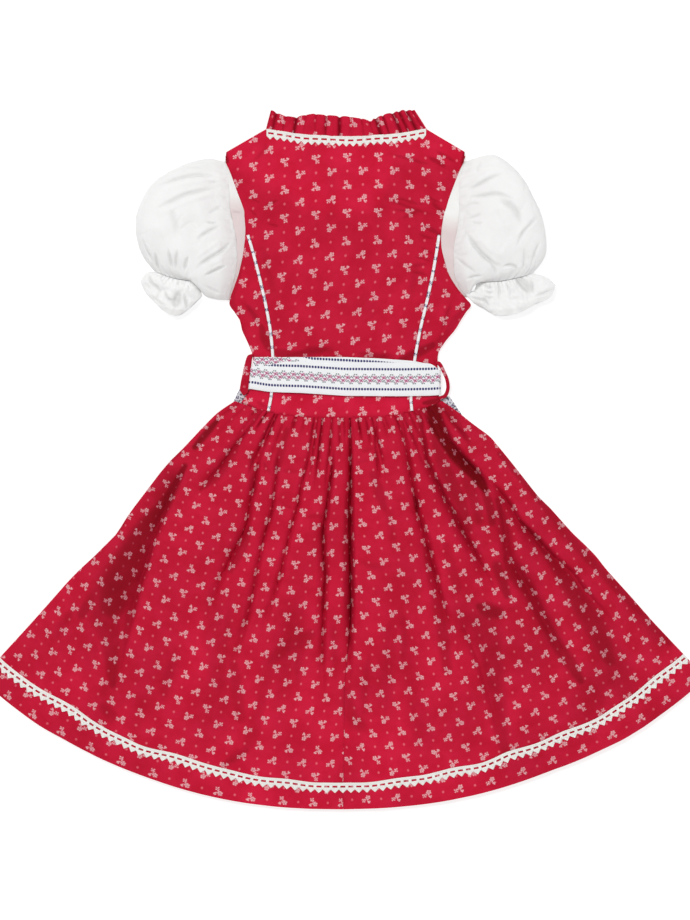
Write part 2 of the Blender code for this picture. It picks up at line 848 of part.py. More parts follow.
def build_back_ruffle():
    grid = []
    for height in (0.0, 0.5, 1.0):
        row = []
        for k in range(RUFFLE_COLUMNS + 1):
            share = k / RUFFLE_COLUMNS
            x = lerp(NECK_LEFT, NECK_RIGHT, share)
            base = neck_y(x) + SEAM
            lean = RUFFLE_LEAN * (1 - 2 * share) * height
            wave = math.sin(2 * math.pi * RUFFLE_WAVES * share + 1.3 * math.sin(9 * share))
            swing = RUFFLE_SWING * (0.3 + 0.7 * height)
            low = back_height(x, base) + (swing + 0.2) * smooth(0.0, 0.6, height)
            rise = swing * wave if height > 0 else 0.3 * wave + 0.3
            row.append((x + lean, base + height * table(RUFFLE_HEIGHT, share), low + rise))
        grid.append(row)
    panel("neck_ruffle_back", grid, TRIM, RED)


def front_neck_frame(share):
    """A point of the front neckline and the direction that its ruffle stands in."""
    x, y = neck_point(share, FRONT_NECK_DIP, FRONT_NECK_POWER)
    step = 0.001
    ax, ay = neck_point(max(share - step, 0.0), FRONT_NECK_DIP, FRONT_NECK_POWER)
    bx, by = neck_point(min(share + step, 1.0), FRONT_NECK_DIP, FRONT_NECK_POWER)
    size = math.dist((ax, ay), (bx, by))
    return x, y, -(by - ay) / size, (bx - ax) / size


def build_front_neck():
    """Ruffle and lace on the front neckline, below the back."""
    ruffle = []
    for height in (0.0, 1.0):
        row = []
        for k in range(FRONT_RUFFLE_COLUMNS + 1):
            share = k / FRONT_RUFFLE_COLUMNS
            x, y, nx, ny = front_neck_frame(share)
            reach = SEAM + height * FRONT_RUFFLE_HEIGHT
            wave = math.sin(2 * math.pi * FRONT_RUFFLE_WAVES * share)
            low = FRONT_RUFFLE_Z + FRONT_RUFFLE_SWING * height * wave
            row.append((x + nx * reach, y + ny * reach, low))
        ruffle.append(row)
    panel("neck_ruffle_front", ruffle, TRIM, RED)
    lace = []
    for reach in (0.6, NECK_LACE_WIDTH):
        row = []
        for k in range(FRONT_RUFFLE_COLUMNS // 2 + 1):
            share = lerp(0.03, 0.97, k / (FRONT_RUFFLE_COLUMNS // 2))
            x, y, nx, ny = front_neck_frame(share)
            row.append((x - nx * reach, y - ny * reach, TRIM_Z))
        lace.append(row)
    panel("neck_lace_front", lace, TRIM, IVORY)


def build_neck_lace():
    """Lace on the back's neckline, on points of the back moved up."""
    rows = []
    for width in (0.6, NECK_LACE_WIDTH):
        row = []
        for k in range(NECK_LACE_REPEATS + 1):
            share = k / NECK_LACE_REPEATS
            x = lerp(NECK_LEFT + 1.0, NECK_RIGHT - 1.0, share)
            y = neck_y(x) - width
            row.append((x, y, back_height(x, y) + WALL * SLOPE_ALLOWANCE))
        rows.append(row)
    scallops("neck_lace_back", rows[0], rows[1])


def build_piping(side, name):
    """A strip along the seam between the back and a side back, over the seam."""
    grid = []
    first = TIP_Y
    last = waist_y(princess_x(PRINCESS[-1][0], side)) + 3 * SEAM
    for k in range(PIPING_STEPS + 1):
        y = lerp(first, last, k / PIPING_STEPS)
        x = princess_x(y, side)
        row = []
        for off in (-0.5, 0.5):
            place = x + off * PIPING_WIDTH
            row.append((place, y, back_height(x, y) + WALL * SLOPE_ALLOWANCE + SEAM))
        grid.append(row)
    panel(name, grid, PIPING_HEIGHT, WHITE)


def tie_base(x):
    """Height of what the tie lies on: the back with its piping."""
    return back_height(x, TIE_Y) + WALL * SLOPE_ALLOWANCE + PIPING_HEIGHT + 2 * SEAM


def build_tie():
    """Two layers of the tie across the back; the outer folds round to the front."""
    grid = []
    for part in (1.0, 0.5, 0.0):
        row = []
        for k in range(TIE_COLUMNS + 1):
            x = lerp(TIE_INNER[0][0], TIE_INNER[-1][0], k / TIE_COLUMNS)
            y = lerp(table(TIE_INNER, x, 2), table(TIE_INNER, x, 1), part)
            row.append((x, y, tie_base(x)))
        grid.append(row)
    panel("tie_inner", grid, TRIM, BAND)

    profile = []
    for end, turn in ((TIE_LEFT_END, 1), (TIE_RIGHT_END, -1)):
        start_x = TIE_OUTER[0][0] if turn > 0 else TIE_OUTER[-1][0]
        top = tie_base(start_x) + TRIM + SEAM
        bend = []
        inner = TRIM_Z + TRIM
        half = (top - inner) / 2
        for k in range(TIE_BENDS + 1):
            angle = math.pi * k / TIE_BENDS
            x = end + turn * TIE_REACH * (1 - math.sin(angle))
            z = inner + half + half * math.cos(angle)
            bend.append((x, z))
        near = WAISTBAND_LEFT - SEAM - TIE_LEFT_SKEW
        limit = near if turn > 0 else WAISTBAND_RIGHT + SEAM
        bend.append((limit, inner))
        profile.append(bend)
    left, right = profile
    spine = [(x, z) for x, z in left[::-1]]
    for k in range(TIE_COLUMNS + 1):
        x = lerp(TIE_OUTER[0][0], TIE_OUTER[-1][0], k / TIE_COLUMNS)
        spine.append((x, tie_base(x) + TRIM + SEAM))
    spine += right
    build_strap("tie_outer", spine)


def build_strap(name, spine):
    """A band whose inner face follows a spine in x and z, as wide as the tie."""
    count = len(spine)
    outer = []
    for k, (x, z) in enumerate(spine):
        a = spine[max(k - 1, 0)]
        b = spine[min(k + 1, count - 1)]
        dx, dz = b[0] - a[0], b[1] - a[1]
        size = math.hypot(dx, dz)
        outer.append((x - dz / size * TRIM, z + dx / size * TRIM))
    vertices = []
    for line in (spine, outer):
        for k, (x, z) in enumerate(line):
            place = min(max(x, TIE_OUTER[0][0]), TIE_OUTER[-1][0])
            top = table(TIE_OUTER, place, 1)
            low = table(TIE_OUTER, place, 2)
            if spine[k][1] < TIE_TURNED_Z:
                low += TIE_TURNED_STEP
            skew = TIE_LEFT_SKEW * smooth(TIE_OUTER[1][0], TIE_OUTER[0][0], x)
            for part in (0.0, 0.5, 1.0):
                vertices.append((x + skew * part, lerp(low, top, part), z))
    faces = []
    side = 3 * count
    for k in range(count - 1):
        for part in range(2):
            a = 3 * k + part
            faces.append((a, a + 1, a + 4, a + 3))
            faces.append((side + a, side + a + 3, side + a + 4, side + a + 1))
        for a in (3 * k, 3 * k + 2):
            faces.append((a, a + 3, side + a + 3, side + a))
    for k in (0, count - 1):
        for part in range(2):
            a = 3 * k + part
            faces.append((a, a + 1, side + a + 1, side + a))
    body(name, vertices, faces, BAND)


def build_loop(name, edge, side):
    """A narrow strip that stands off round the tie, sewn to the side of the bodice."""
    steps = 14
    grid = []
    outer = [along(edge, k / steps) for k in range(steps + 1)]
    inner = []
    for k, (x, y) in enumerate(outer):
        a = outer[max(k - 1, 0)]
        b = outer[min(k + 1, steps)]
        size = math.dist(a, b)
        nx = -(b[1] - a[1]) / size
        ny = (b[0] - a[0]) / size
        if nx * side > 0:
            nx, ny = -nx, -ny
        inner.append((x + nx * LOOP_WIDTH, y + ny * LOOP_WIDTH))
    for p, q in zip(outer, inner):
        grid.append([(p[0], p[1], LOOP_Z), (q[0], q[1], LOOP_Z)])
    panel(name, grid, LOOP_THICK, RED)


def build_apron():
    plate("apron", APRON, TRIM_Z, TRIM, GREY)
    corners = []
    (x0, y0), (x1, y1) = APRON[:2]
    for x in (WAISTBAND_LEFT, WAISTBAND_RIGHT):
        corners.append((x, lerp(y0, y1, (x - x0) / (x1 - x0)) + SEAM))
    outline = corners + [(x, y + WAISTBAND_WIDTH) for x, y in corners[::-1]]
    plate("apron_waistband", outline, TRIM_Z, TRIM, BAND)


def coons(first, last, start, end):
    """A surface between four curves: w runs along start and end, t along first and last."""
    def plan(w, t):
        a, b = first(t), last(t)
        c, d = start(w), end(w)
        corners = (start(0), start(1), end(0), end(1))
        point = []
        for k in (0, 1):
            ruled = lerp(a[k], b[k], w) + lerp(c[k], d[k], t)
            near = lerp(corners[0][k], corners[1][k], w)
            far = lerp(corners[2][k], corners[3][k], w)
            flat = lerp(near, far, t)
            point.append(ruled - flat)
        return tuple(point)
    return plan


def rounded(w, power):
    return math.sqrt(max(0.0, 1 - abs(2 * w - 1) ** power))


def build_armhole_strip(name, seam, side):
    """The narrow white ring between the red armhole edge and the sleeve seam."""
    def plan(w, t):
        x, y = along([row[::-1] for row in seam], w)
        edge = side_x(y, side) + side * STRIP_GAP
        return lerp(edge, x - side * SEAM, t), y

    def heights(w, t):
        high = lerp(STRIP_HIGH_AT_EDGE, STRIP_HIGH_AT_SLEEVE, t)
        middle = lerp(STRIP_LOW, high, STRIP_MIDDLE)
        swell = rounded(w, 8)
        return middle - (middle - STRIP_LOW) * swell, middle + (high - middle) * swell

    tube(name, plan, (0, 1), heights, WALL, WHITE)


def build_sleeve(name, seam, outer, inner):
    """A puff gathered into the armhole seam and into the elastic above the frill."""
    outer = (seam[0][::-1],) + outer
    inner = (seam[-1][::-1],) + inner

    def cuff(w):
        x = lerp(outer[-1][0], inner[-1][0], w)
        y = lerp(outer[-1][1], inner[-1][1], w)
        return x, y - CUFF_BOW * (1 - (2 * w - 1) ** 2)

    def start(w):
        return along([row[::-1] for row in seam], w)

    def heights(w, t):
        high = table(PUFF_HEIGHT, t)
        lean = 1 - 0.25 * w * math.sin(math.pi * t)
        high *= lean
        low = STRIP_LOW * (1 - smooth(0.0, 0.15, t))
        middle = lerp(low, high, PUFF_MIDDLE)
        upper = middle + (high - middle) * rounded(w, 2.8)
        fold = math.sin(2 * math.pi * PUFF_GATHERS * w + 1.1 * math.sin(7 * w))
        fade = smooth(0, 0.03, t) * math.exp(-t / 0.2) * rounded(w, 6)
        upper += PUFF_GATHER_HEIGHT * fold * fade
        fold = math.sin(2 * math.pi * CUFF_GATHERS * w + 0.7)
        fade = math.exp(-(1 - t) / 0.16) * rounded(w, 4)
        upper += CUFF_GATHER_HEIGHT * fold * fade
        return middle - (middle - low) * rounded(w, 5), upper

    plan = coons(lambda t: along(outer, t), lambda t: along(inner, t), start, cuff)
    tube(name, plan, PUFF_ROWS, heights, WALL, WHITE)
    return cuff


def build_frill(name, cuff, first, last, far):
    """The gathered edge below the elastic."""
    def start(w):
        x, y = cuff(w)
        return x, y - SEAM - 0.2

    first = (start(0),) + first
    last = (start(1),) + last

    def heights(w, t):
        high = lerp(PUFF_HEIGHT[-1][1], FRILL_HEIGHT, t)
        middle = FRILL_MIDDLE * high
        wave = math.sin(2 * math.pi * FRILL_WAVES * w + 0.9)
        swing = lerp(FRILL_SWING_AT_CUFF, FRILL_SWING, t) * wave * rounded(w, 4)
        upper = middle + (high - middle) * rounded(w, 3) + swing
        return middle - middle * rounded(w, 5), upper

    plan = coons(lambda t: along(first, t), lambda t: along(last, t), start, lambda w: along(far, w))
    tube(name, plan, FRILL_ROWS, heights, TRIM, WHITE)


def main():
    clear_scene()
    build_apron()
    halves = build_skirt()
    build_hem_lace(halves)
    build_back()
    for side, word in ((-1, "left"), (1, "right")):
        build_side_back(side, "bodice_side_back_" + word)
        build_bodice_front(side, "bodice_front_" + word)
        build_piping(side, "piping_" + word)
    build_back_ruffle()
    build_front_neck()
    build_neck_lace()
    build_tie()
    build_loop("belt_loop_left", LOOP_LEFT, -1)
    build_loop("belt_loop_right", LOOP_RIGHT, 1)
    build_armhole_strip("armhole_strip_left", SLEEVE_SEAM_LEFT, -1)
    build_armhole_strip("armhole_strip_right", SLEEVE_SEAM_RIGHT, 1)
    cuff = build_sleeve("sleeve_left", SLEEVE_SEAM_LEFT, PUFF_OUTER_LEFT, PUFF_INNER_LEFT)
    build_frill("sleeve_frill_left", cuff, FRILL_SIDE_LEFT, FRILL_INNER_LEFT, FRILL_FAR_LEFT)
    cuff = build_sleeve("sleeve_right", SLEEVE_SEAM_RIGHT, PUFF_OUTER_RIGHT, PUFF_INNER_RIGHT)
    build_frill("sleeve_frill_right", cuff, FRILL_SIDE_RIGHT, FRILL_INNER_RIGHT, FRILL_FAR_RIGHT)


main()
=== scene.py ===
import math

import bpy
import numpy as np
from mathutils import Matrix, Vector


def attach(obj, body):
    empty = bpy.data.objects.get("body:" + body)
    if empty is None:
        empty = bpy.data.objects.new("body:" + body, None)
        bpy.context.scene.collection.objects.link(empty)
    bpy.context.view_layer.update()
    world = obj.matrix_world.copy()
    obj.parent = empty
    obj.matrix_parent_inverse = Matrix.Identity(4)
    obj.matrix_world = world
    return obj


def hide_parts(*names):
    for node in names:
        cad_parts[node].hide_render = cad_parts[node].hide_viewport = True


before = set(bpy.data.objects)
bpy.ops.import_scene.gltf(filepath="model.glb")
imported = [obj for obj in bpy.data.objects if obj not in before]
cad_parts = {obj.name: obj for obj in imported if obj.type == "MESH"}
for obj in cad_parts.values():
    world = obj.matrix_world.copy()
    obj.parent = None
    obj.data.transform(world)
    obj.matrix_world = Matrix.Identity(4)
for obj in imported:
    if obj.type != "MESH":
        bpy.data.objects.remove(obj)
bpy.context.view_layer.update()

# Dimensions shared with the solids, in millimetres
MM = 0.001
WALL = 1.2
TRIM = 1.0
SEAM = 0.3
FRONT_Z = 1.3
BACK_Z = 2.8

# Thicknesses of the finer shells, in millimetres
THIN_CLOTH = 0.7
FIRM_CLOTH = 0.8
UNDER_CLOTH = 0.9
FRONT_CLOTH = 1.0
FRILL_CLOTH = 0.5

# The photograph's pixel over the frame's origin; one pixel is one millimetre
PHOTO_X = 343.0
PHOTO_Y = 459.5

# The sides, and the column that a table keeps for each
SIDES = ((-1, "left"), (1, "right"))
COLUMN = {-1: 1, 1: 2}

# The skirt's outline, gathers and loft
WAIST_HALF = 102.0
WAIST_X = -3.0
WAIST_Y = 58.5
WAIST_DIP = 16.5
HEM_HALF = 363.0
HEM_SIDE_Y = -217.5
HEM_DIP = 132.0
HEM_TILT = 2.0
HEM_POWER = 2.25
SIDE_BOW = 10.0
SIDE_BOW_AT = 0.15
GATHER_LINES = 32
FULLNESS = 1.45
LACE_TOP = 0.922

SKIRT_LOFT = (
    (0, 2.3), (0.06, 4.6), (0.15, 7.6), (0.3, 9.4), (0.5, 9), (0.7, 7.2), (0.85, 5.2),
    (0.93, 3.8), (1, 3),
)
CENTRE_SEAM = ((0, 0.098), (0.1, 0.09), (0.22, 0.046), (0.5, 0.042), (0.68, 0.008), (1, 0))
# Large folds of the skirt, in the photograph's places
FOLDS = (
    # depth, width at the left, width at the right, darkness of the painted shade, line
    (0.92, 27, 4, 0.50, (
        (188.6, 461.4), (176.1, 482.9), (161.8, 518.6), (152.9, 540), (143.9, 572.1), (136.8, 593.6),
        (131.4, 618.6), (126.1, 636.4), (121.5, 659.6), (117, 690))),
    (0.60, 10, 4, 0.34, (
        (252, 425), (240.4, 440), (231.4, 450.7), (220.7, 466.8), (208.2, 481), (195.7, 495.4))),
    (0.66, 7, 4, 0.15, (
        (261.8, 445.4), (258.2, 466.8), (254.6, 486.4), (251, 500.7), (249.3, 516.8), (245.7, 529.3),
        (236.8, 547.1), (229.6, 561.4), (222.5, 575.7), (217.1, 591.8), (211.8, 607.9), (203, 626))),
    (0.50, 5, 3.5, 0.23, (
        (283.2, 443.6), (277.9, 457.9), (277, 475.7), (274.3, 493.6), (272.5, 511.4), (265.4, 532.9),
        (261.8, 547.1), (259.1, 561.4), (256.4, 575.7), (252.9, 593.6), (249, 613), (242, 637),
        (231, 668), (230, 690))),
    (0.50, 5, 3.5, 0.18, (
        (322.5, 440), (310, 450.7), (306.4, 468.6), (301.1, 486.4), (299.3, 502.5), (292.1, 525.7),
        (288.6, 540), (285, 554.3), (281.4, 572.1), (274.3, 593.6), (268.7, 611), (264, 629),
        (257, 652))),
    (0.72, 7, 3, 0.24, (
        (333.2, 443.6), (332.3, 472.1), (329.6, 493.6), (326.1, 515), (323.4, 532.9), (324.3, 554.3),
        (326.1, 575.7), (324.3, 597.1), (323.4, 630), (323, 672), (325, 716))),
    (0.97, 7, 3, 0.22, (
        (350.2, 417), (351, 460), (351.2, 520), (351.2, 600), (350, 660), (348.5, 700))),
    (0.50, 4, 4, 0.25, (
        (376.6, 419.6), (375.7, 435.7), (376.6, 453.6), (378.4, 471.4), (380.2, 482.6))),
    (0.82, 9, 4, 0.14, (
        (401.6, 419.6), (404.3, 435.7), (407.9, 453.6), (411.4, 475), (416.8, 500), (417.7, 510.7),
        (423.9, 530.4), (429.3, 551.8), (434.6, 571.4), (438.2, 589.3), (443.6, 607.1), (447.1, 623.2),
        (454.3, 655))),
    (0.50, 3.5, 3.5, 0.25, ((409.6, 414.3), (414, 424), (420.4, 434.1))),
    (0.86, 10, 4, 0.36, (
        (419.5, 410.7), (422.1, 430.4), (427.5, 458.9), (432.9, 475), (440, 485.7), (447.1, 501.8),
        (454.3, 514.3), (463.2, 532.1), (475.7, 553.6), (481.1, 566.1), (488.2, 578.6), (496.6, 604.4))),
    (0.96, 20, 5, 0.62, (
        (434, 403.6), (440, 419.6), (450.7, 442.9), (465, 460.7), (479.3, 475), (494, 500))),
    (0.72, 10, 9, 0.45, (
        (499, 498), (504, 520), (506.5, 540), (508, 558), (520, 574), (535, 602),
        (550, 632), (566, 660), (583, 684))),
    (0.86, 12, 3.5, 0.28, (
        (488.2, 478.6), (500.7, 492.9), (511.4, 507.1), (518.6, 521.4), (532.9, 535.7), (548.9, 551.8),
        (559.6, 562.5), (570.4, 571.4), (581.1, 585.7), (598.9, 607.1), (611.4, 621.4), (626, 650))),
    (0.55, 5, 3, 0.50, ((443, 408), (452, 421), (463, 433), (471, 445))),
    (0.50, 7, 3, 0.35, ((536.4, 503.6), (556, 520), (573.5, 542.9), (582.9, 558))),
    (0.50, 9, 3, 0.38, ((622, 588), (640, 610), (655, 630), (668, 646))),
    (0.55, 7, 14, 0.20, (
        (458, 606), (468, 634), (480, 664), (488, 690), (497, 725), (510, 762))),
    (0.30, 12, 9, 0.14, ((393, 610), (389, 660), (388.5, 700), (388, 757))),
    (0.35, 14, 9, 0.16, ((99, 622), (92, 655), (85, 686))),
    (0.35, 18, 12, 0.16, ((300, 590), (292, 640), (283, 695), (277, 750))),
    (0.35, 14, 16, 0.16, ((404, 640), (412, 690), (424, 740), (432, 778))),
    (0.40, 13, 12, 0.18, ((152, 684), (140, 715), (128, 744))),
)
SHADES = (
    # darkness, line with half widths
    (0.80, ((217, 421, 2.5), (206, 434, 4), (195, 447, 3))),
    (0.36, ((240, 438, 3), (228, 460, 6), (214, 478, 5), (201, 489, 2))),
    (0.72, (
        (185, 466, 3), (166, 500, 7), (143, 532, 12), (130, 560, 17), (118, 588, 21), (113, 606, 16))),
    (0.42, ((108, 612, 18), (112, 645, 11), (113, 684, 4))),
    (0.36, ((98, 592, 7), (82, 614, 5))),
    (0.25, ((104, 706, 5), (112, 716, 6))),
    (0.32, ((252, 455, 3), (253, 490, 4))),
    (0.38, ((250, 528, 3), (241, 548, 6), (231, 569, 4))),
    (0.16, ((214, 595, 9), (216, 640, 12), (218, 680, 9))),
    (0.32, ((287, 430, 3), (281, 450, 5), (277, 470, 4))),
    (0.31, ((348, 495, 3), (347.5, 540, 5), (349, 575, 5.5), (349, 610, 4.5), (349, 650, 2.5))),
    (0.30, ((373, 474, 4), (379, 492, 6), (384, 508, 3))),
    (0.60, ((414, 496, 2), (416, 503, 3), (417, 512, 2))),
    (0.28, ((426, 545, 4), (433, 580, 6), (441, 620, 7), (447, 670, 5))),
    (0.36, ((434, 430, 5), (440, 455, 7), (450, 480, 8), (461, 505, 7), (468, 530, 4))),
    (0.30, ((466, 480, 6), (474, 500, 7), (478, 520, 5))),
    (0.48, ((497, 500, 3), (503, 520, 4), (507, 542, 3.5))),
    (1, (
        (429, 400, 6), (433, 411, 8), (437, 426, 8), (445, 441, 7), (455, 455, 7), (466, 466, 7),
        (477, 478, 6), (485, 490, 4))),
    (0.50, ((484, 492, 4), (489, 506, 5), (492, 522, 4))),
    (0.52, ((497, 566, 6), (502, 580, 6), (507, 595, 4))),
    (0.20, ((446, 545, 4), (452, 570, 6), (458, 590, 4))),
    (0.40, ((224, 764, 2.5), (236, 757, 4), (247, 750, 2.5))),
    (0.30, ((180, 452, 2), (150, 482, 3), (131, 508, 3), (119, 530, 2))),
    (0.35, ((447, 408, 3), (456, 422, 4), (466, 438, 3))),
    (0.52, (
        (506, 558, 4), (513, 571, 9), (528, 590, 8), (541, 615, 7), (556, 643, 7), (571, 665, 7),
        (580, 680, 4))),
    (0.50, (
        (520, 521, 2), (538, 541, 4), (556, 566, 7), (574, 592, 11), (592, 622, 13), (602, 642, 11),
        (610, 660, 7))),
    (0.60, ((479, 606, 4), (488, 611, 9), (499, 613, 6))),
    (0.32, ((483, 622, 16), (490, 655, 13), (495, 690, 10), (500, 725, 8), (505, 752, 5))),
    (0.22, ((612, 655, 12), (622, 678, 14), (628, 695, 10))),
    (0.36, ((500, 454, 3), (538, 498, 4), (577, 546, 5), (615, 586, 5), (643, 616, 4), (670, 644, 3))),
    (0.26, ((312, 633, 4), (300, 640, 9), (286, 648, 9), (272, 660, 6))),
    (0.18, ((270, 665, 6), (262, 700, 6), (252, 735, 7), (246, 750, 4))),
    (0.20, ((234, 665, 5), (238, 695, 6), (241, 718, 5))),
    (0.24, ((346, 690, 5), (349, 710, 8), (360, 724, 7))),
)
BODICE_SHADES = (
    # darkness, line with half widths
    (0.80, ((225, 153, 2), (226.5, 161, 2.5))),
    (0.80, ((465.5, 153, 2.5), (463, 163, 2.5))),
    (0.75, ((424, 403, 2), (431, 402, 3.5), (440, 399.5, 3))),
    (0.55, ((261, 326, 3), (265, 338, 6), (270, 348, 5))),
    (0.52, ((272, 352, 3), (285, 353, 5), (294, 356, 3))),
    (0.46, ((298, 355, 2), (312, 350, 5), (331, 351, 3))),
    (0.40, ((358, 357, 2), (372, 356, 4), (387, 358, 2))),
    (0.66, ((401, 359, 3), (417, 353, 6), (433, 345, 4))),
    (0.42, ((244, 232, 2), (239, 275, 3), (231, 300, 5), (243, 332, 3))),
    (0.42, ((443, 228, 2), (449, 272, 3), (468, 302, 6), (452, 324, 5), (441, 346, 3))),
)
# How far the photograph's sides lie outside the plan's, from waist to hem
SIDE_WAVE_LEFT = (
    (0, 3), (0.04, 4), (0.083, 2), (0.127, 1), (0.17, 1), (0.214, 3), (0.257, 3), (0.30, 2),
    (0.344, 1), (0.388, 0), (0.43, -2), (0.475, -5.5), (0.518, -4), (0.56, -2.6), (0.605, 0),
    (0.65, 1), (0.8, 0), (1, 0),
)
SIDE_WAVE_RIGHT = (
    (0, 0), (0.083, 0), (0.127, 4.5), (0.17, 3), (0.214, 2), (0.257, 1), (0.30, 0), (0.344, -1),
    (0.388, 1), (0.475, 1), (0.518, 3), (0.56, 4), (0.605, 2), (0.70, 1.5), (0.8, 0), (1, 0),
)
# How much lower the photograph's hem lies than the plan's curve
HEM_SAG = (
    (-363, 0), (-330, 2), (-303, 3.2), (-280, 1.6), (-240, 1.2), (-200, 0),
    (205, 0), (230, 1.8), (247, 2.8), (262, 3.6), (280, 5.6), (300, 5.8), (320, 5),
    (340, 4.6), (363, 3),
)
# How much lower the hem's lace lies than an even line
LACE_SAG = (
    (-363, 1), (-333, 1), (-303, -3), (-273, 0), (-243, 1.6), (-213, 2.4), (-183, 0.3),
    (-153, 0.2), (-123, 1.8), (-93, 2), (-63, 3.2), (-33, 5), (-3, 6), (27, 4),
    (57, 2.6), (87, 2.2), (117, 1), (147, 1.4), (177, -2), (207, 0), (237, -0.6),
    (267, 0.2), (297, -2.5), (327, -3), (363, -2),
)
# The bodice's edges, seams and rise
BODICE_SIDES = (
    # y, left edge, right edge
    (303.5, -117.7, 122.5), (298.5, -117.5, 121), (291.5, -114.7, 117.6), (284.5, -111.8, 114.8),
    (267.5, -105.7, 108.3), (250.5, -99.4, 102.8), (243.5, -98.6, 100.8), (228.5, -97.7, 98.4),
    (213.5, -98.9, 98.4), (199.5, -101.2, 101.4), (184.5, -104.8, 106.3), (171.5, -109.4, 114.3),
    (161.5, -112.8, 122.6), (154.5, -113.4, 128), (147.5, -108.6, 123.2), (139.5, -103.2, 118),
    (129.5, -101, 112), (119.5, -96.5, 103.5), (109.5, -92, 96.4), (104.5, -90.6, 95),
    (98, -89.6, 94.7), (88, -90, 94.6), (79.5, -91.5, 94.6), (71, -92.9, 94.7),
    (66, -95.5, 95.2), (58.5, -101.8, 98.2),
)
PRINCESS = (
    # y, left seam, right seam
    (224.5, -95.1, 96.1), (208, -90.2, 93.7), (184.5, -84.1, 89.6), (159.5, -78.2, 84.2),
    (129.5, -72.5, 77), (102.5, -70, 72), (80, -70.4, 69.4), (62, -71.8, 67.5),
    (47.5, -75, 69),
)
TIP_Y = 224.5
NECK_LEFT = -77.0
NECK_RIGHT = 83.5
NECK_END_Y = 330.5
NECK_DIP = 7.5
NECK_POWER = 2.0
FRONT_NECK_DIP = 66.0
FRONT_NECK_POWER = 2.4
CROWN = 3.3
CROWN_POWER = 2.2
SLOPE_ALLOWANCE = 1.03
ARMHOLE_RISE = 0.5
# The ruffle's height at shares of the neck
RUFFLE_HEIGHT = (
    (0, 18.5), (0.09, 14.6), (0.15, 14.8), (0.28, 20.3), (0.5, 19.2), (0.63, 16),
    (0.685, 12.8), (0.7, 16.2), (0.8, 19.2), (0.92, 20.5), (1, 18),
)
RUFFLE_SWING = 2.2
PIPING_WIDTH = 3.0
PIPING_HEIGHT = 1.2
PIPING_SIDES = 16
# The tie's layers: x, upper edge, lower edge
TIE_OUTER = (
    (-92, 92, 70.5), (-74, 94, 67.6), (-60, 98, 67), (-43, 97.8, 66.6),
    (2, 97.4, 63.6), (57, 96.8, 63.2), (89, 96.2, 63.8), (96, 89.6, 64.4),
)
TIE_INNER = (
    (-88, 102.4, 72), (-66, 102.2, 70), (-40, 102.3, 69), (0, 102.4, 68),
    (36, 101, 68), (70, 98.6, 68), (86, 95.4, 68.5),
)
TIE_LEFT_END = -94.0
TIE_RIGHT_END = 96.8
TIE_LEFT_SKEW = 2.2
TIE_TURNED_Z = 3.0
TIE_TURNED_STEP = 2.5
TIE_REACH = 2.0
TIE_Y = 82.0
# Outer edges of the belt loops, their thickness and height
LOOP_LEFT = (
    (-91.5, 105.6), (-95.8, 103.2), (-98.8, 93.5), (-100.4, 85.9), (-102.3, 76.7), (-103, 69.5),
    (-99.6, 63.8),
)
LOOP_RIGHT = (
    (93.4, 98.6), (98, 96.8), (102.6, 87.9), (105.8, 79.9), (106.7, 70.7), (103.8, 62.8),
    (97, 59.6),
)
LOOP_THICK = 2.2
LOOP_Z = 4.55
# The apron's outline and waistband
APRON = (
    (-103, 71.5), (107, 63), (120, 43.5), (232, -230.5), (120, -256), (0, -266),
    (-120, -256), (-231, -230.5), (-111, 55.5),
)
WAISTBAND_LEFT = -85.0
WAISTBAND_RIGHT = 92.0
WAISTBAND_WIDTH = 32.0
# Sleeves, armhole strips and frills
SLEEVE_SEAM_LEFT = (
    (-119.6, 298.5), (-115.6, 284.5), (-113.7, 267.5), (-112.8, 250.5), (-108.5, 229.5),
    (-106.2, 214.5), (-105.9, 201.5), (-107.3, 187.5), (-111.2, 172.5), (-115.6, 159.5),
)
SLEEVE_SEAM_RIGHT = (
    (123.4, 298.5), (120.5, 291.5), (116.9, 279.5), (116.2, 261.5), (115.8, 243.5), (114, 228.5),
    (111.2, 213.5), (110.7, 199.5), (111.8, 184.5), (117.2, 171.5), (124.3, 162.5),
)
PUFF_OUTER_LEFT = (
    (-136, 301), (-159, 295), (-180, 284), (-193, 273), (-203, 255),
    (-207, 240), (-206.5, 222), (-200.5, 203.5), (-189, 188.5),
)
PUFF_INNER_LEFT = ((-127, 159.9), (-139, 164.5), (-142.5, 178.5))
PUFF_OUTER_RIGHT = (
    (135, 302.5), (149, 305), (160, 300.5), (172, 290.5), (182, 278), (189.5, 263.5),
    (197, 248), (202, 229), (203.5, 209.5), (199, 197), (190.5, 186.5),
)
PUFF_INNER_RIGHT = ((127.5, 166.5), (130.5, 172.5), (134, 177.5))
CUFF_BOW = 3.0
STRIP_GAP = -0.3
STRIP_LOW = 0.6
STRIP_HIGH_AT_EDGE = 4.4
STRIP_HIGH_AT_SLEEVE = 5.9
STRIP_MIDDLE = 0.45
PUFF_HEIGHT = (
    (0, 6.5), (0.07, 12), (0.2, 20.5), (0.42, 28.5), (0.62, 28.5), (0.85, 20), (1, 11),
)
PUFF_MIDDLE = 0.32
FRILL_SIDE_LEFT = ((-197, 186.5), (-203, 178.5))
FRILL_FAR_LEFT = (
    (-203, 178.5), (-198, 167.5), (-189.5, 158), (-178, 147.5), (-166, 143.5),
    (-154, 151), (-140.8, 163.5),
)
FRILL_INNER_LEFT = ((-142, 170), (-140.8, 163.5))
FRILL_SIDE_RIGHT = ((203, 183), (213, 174.5))
FRILL_FAR_RIGHT = (
    (213, 174.5), (207, 161.5), (194, 156), (180, 148), (168, 144.5), (153, 144),
    (141, 151), (131, 156.5), (122.5, 165.5),
)
FRILL_INNER_RIGHT = ((131, 169), (125.5, 169.5), (122.5, 165.5))
FRILL_HEIGHT = 13.0
FRILL_MIDDLE = 0.35

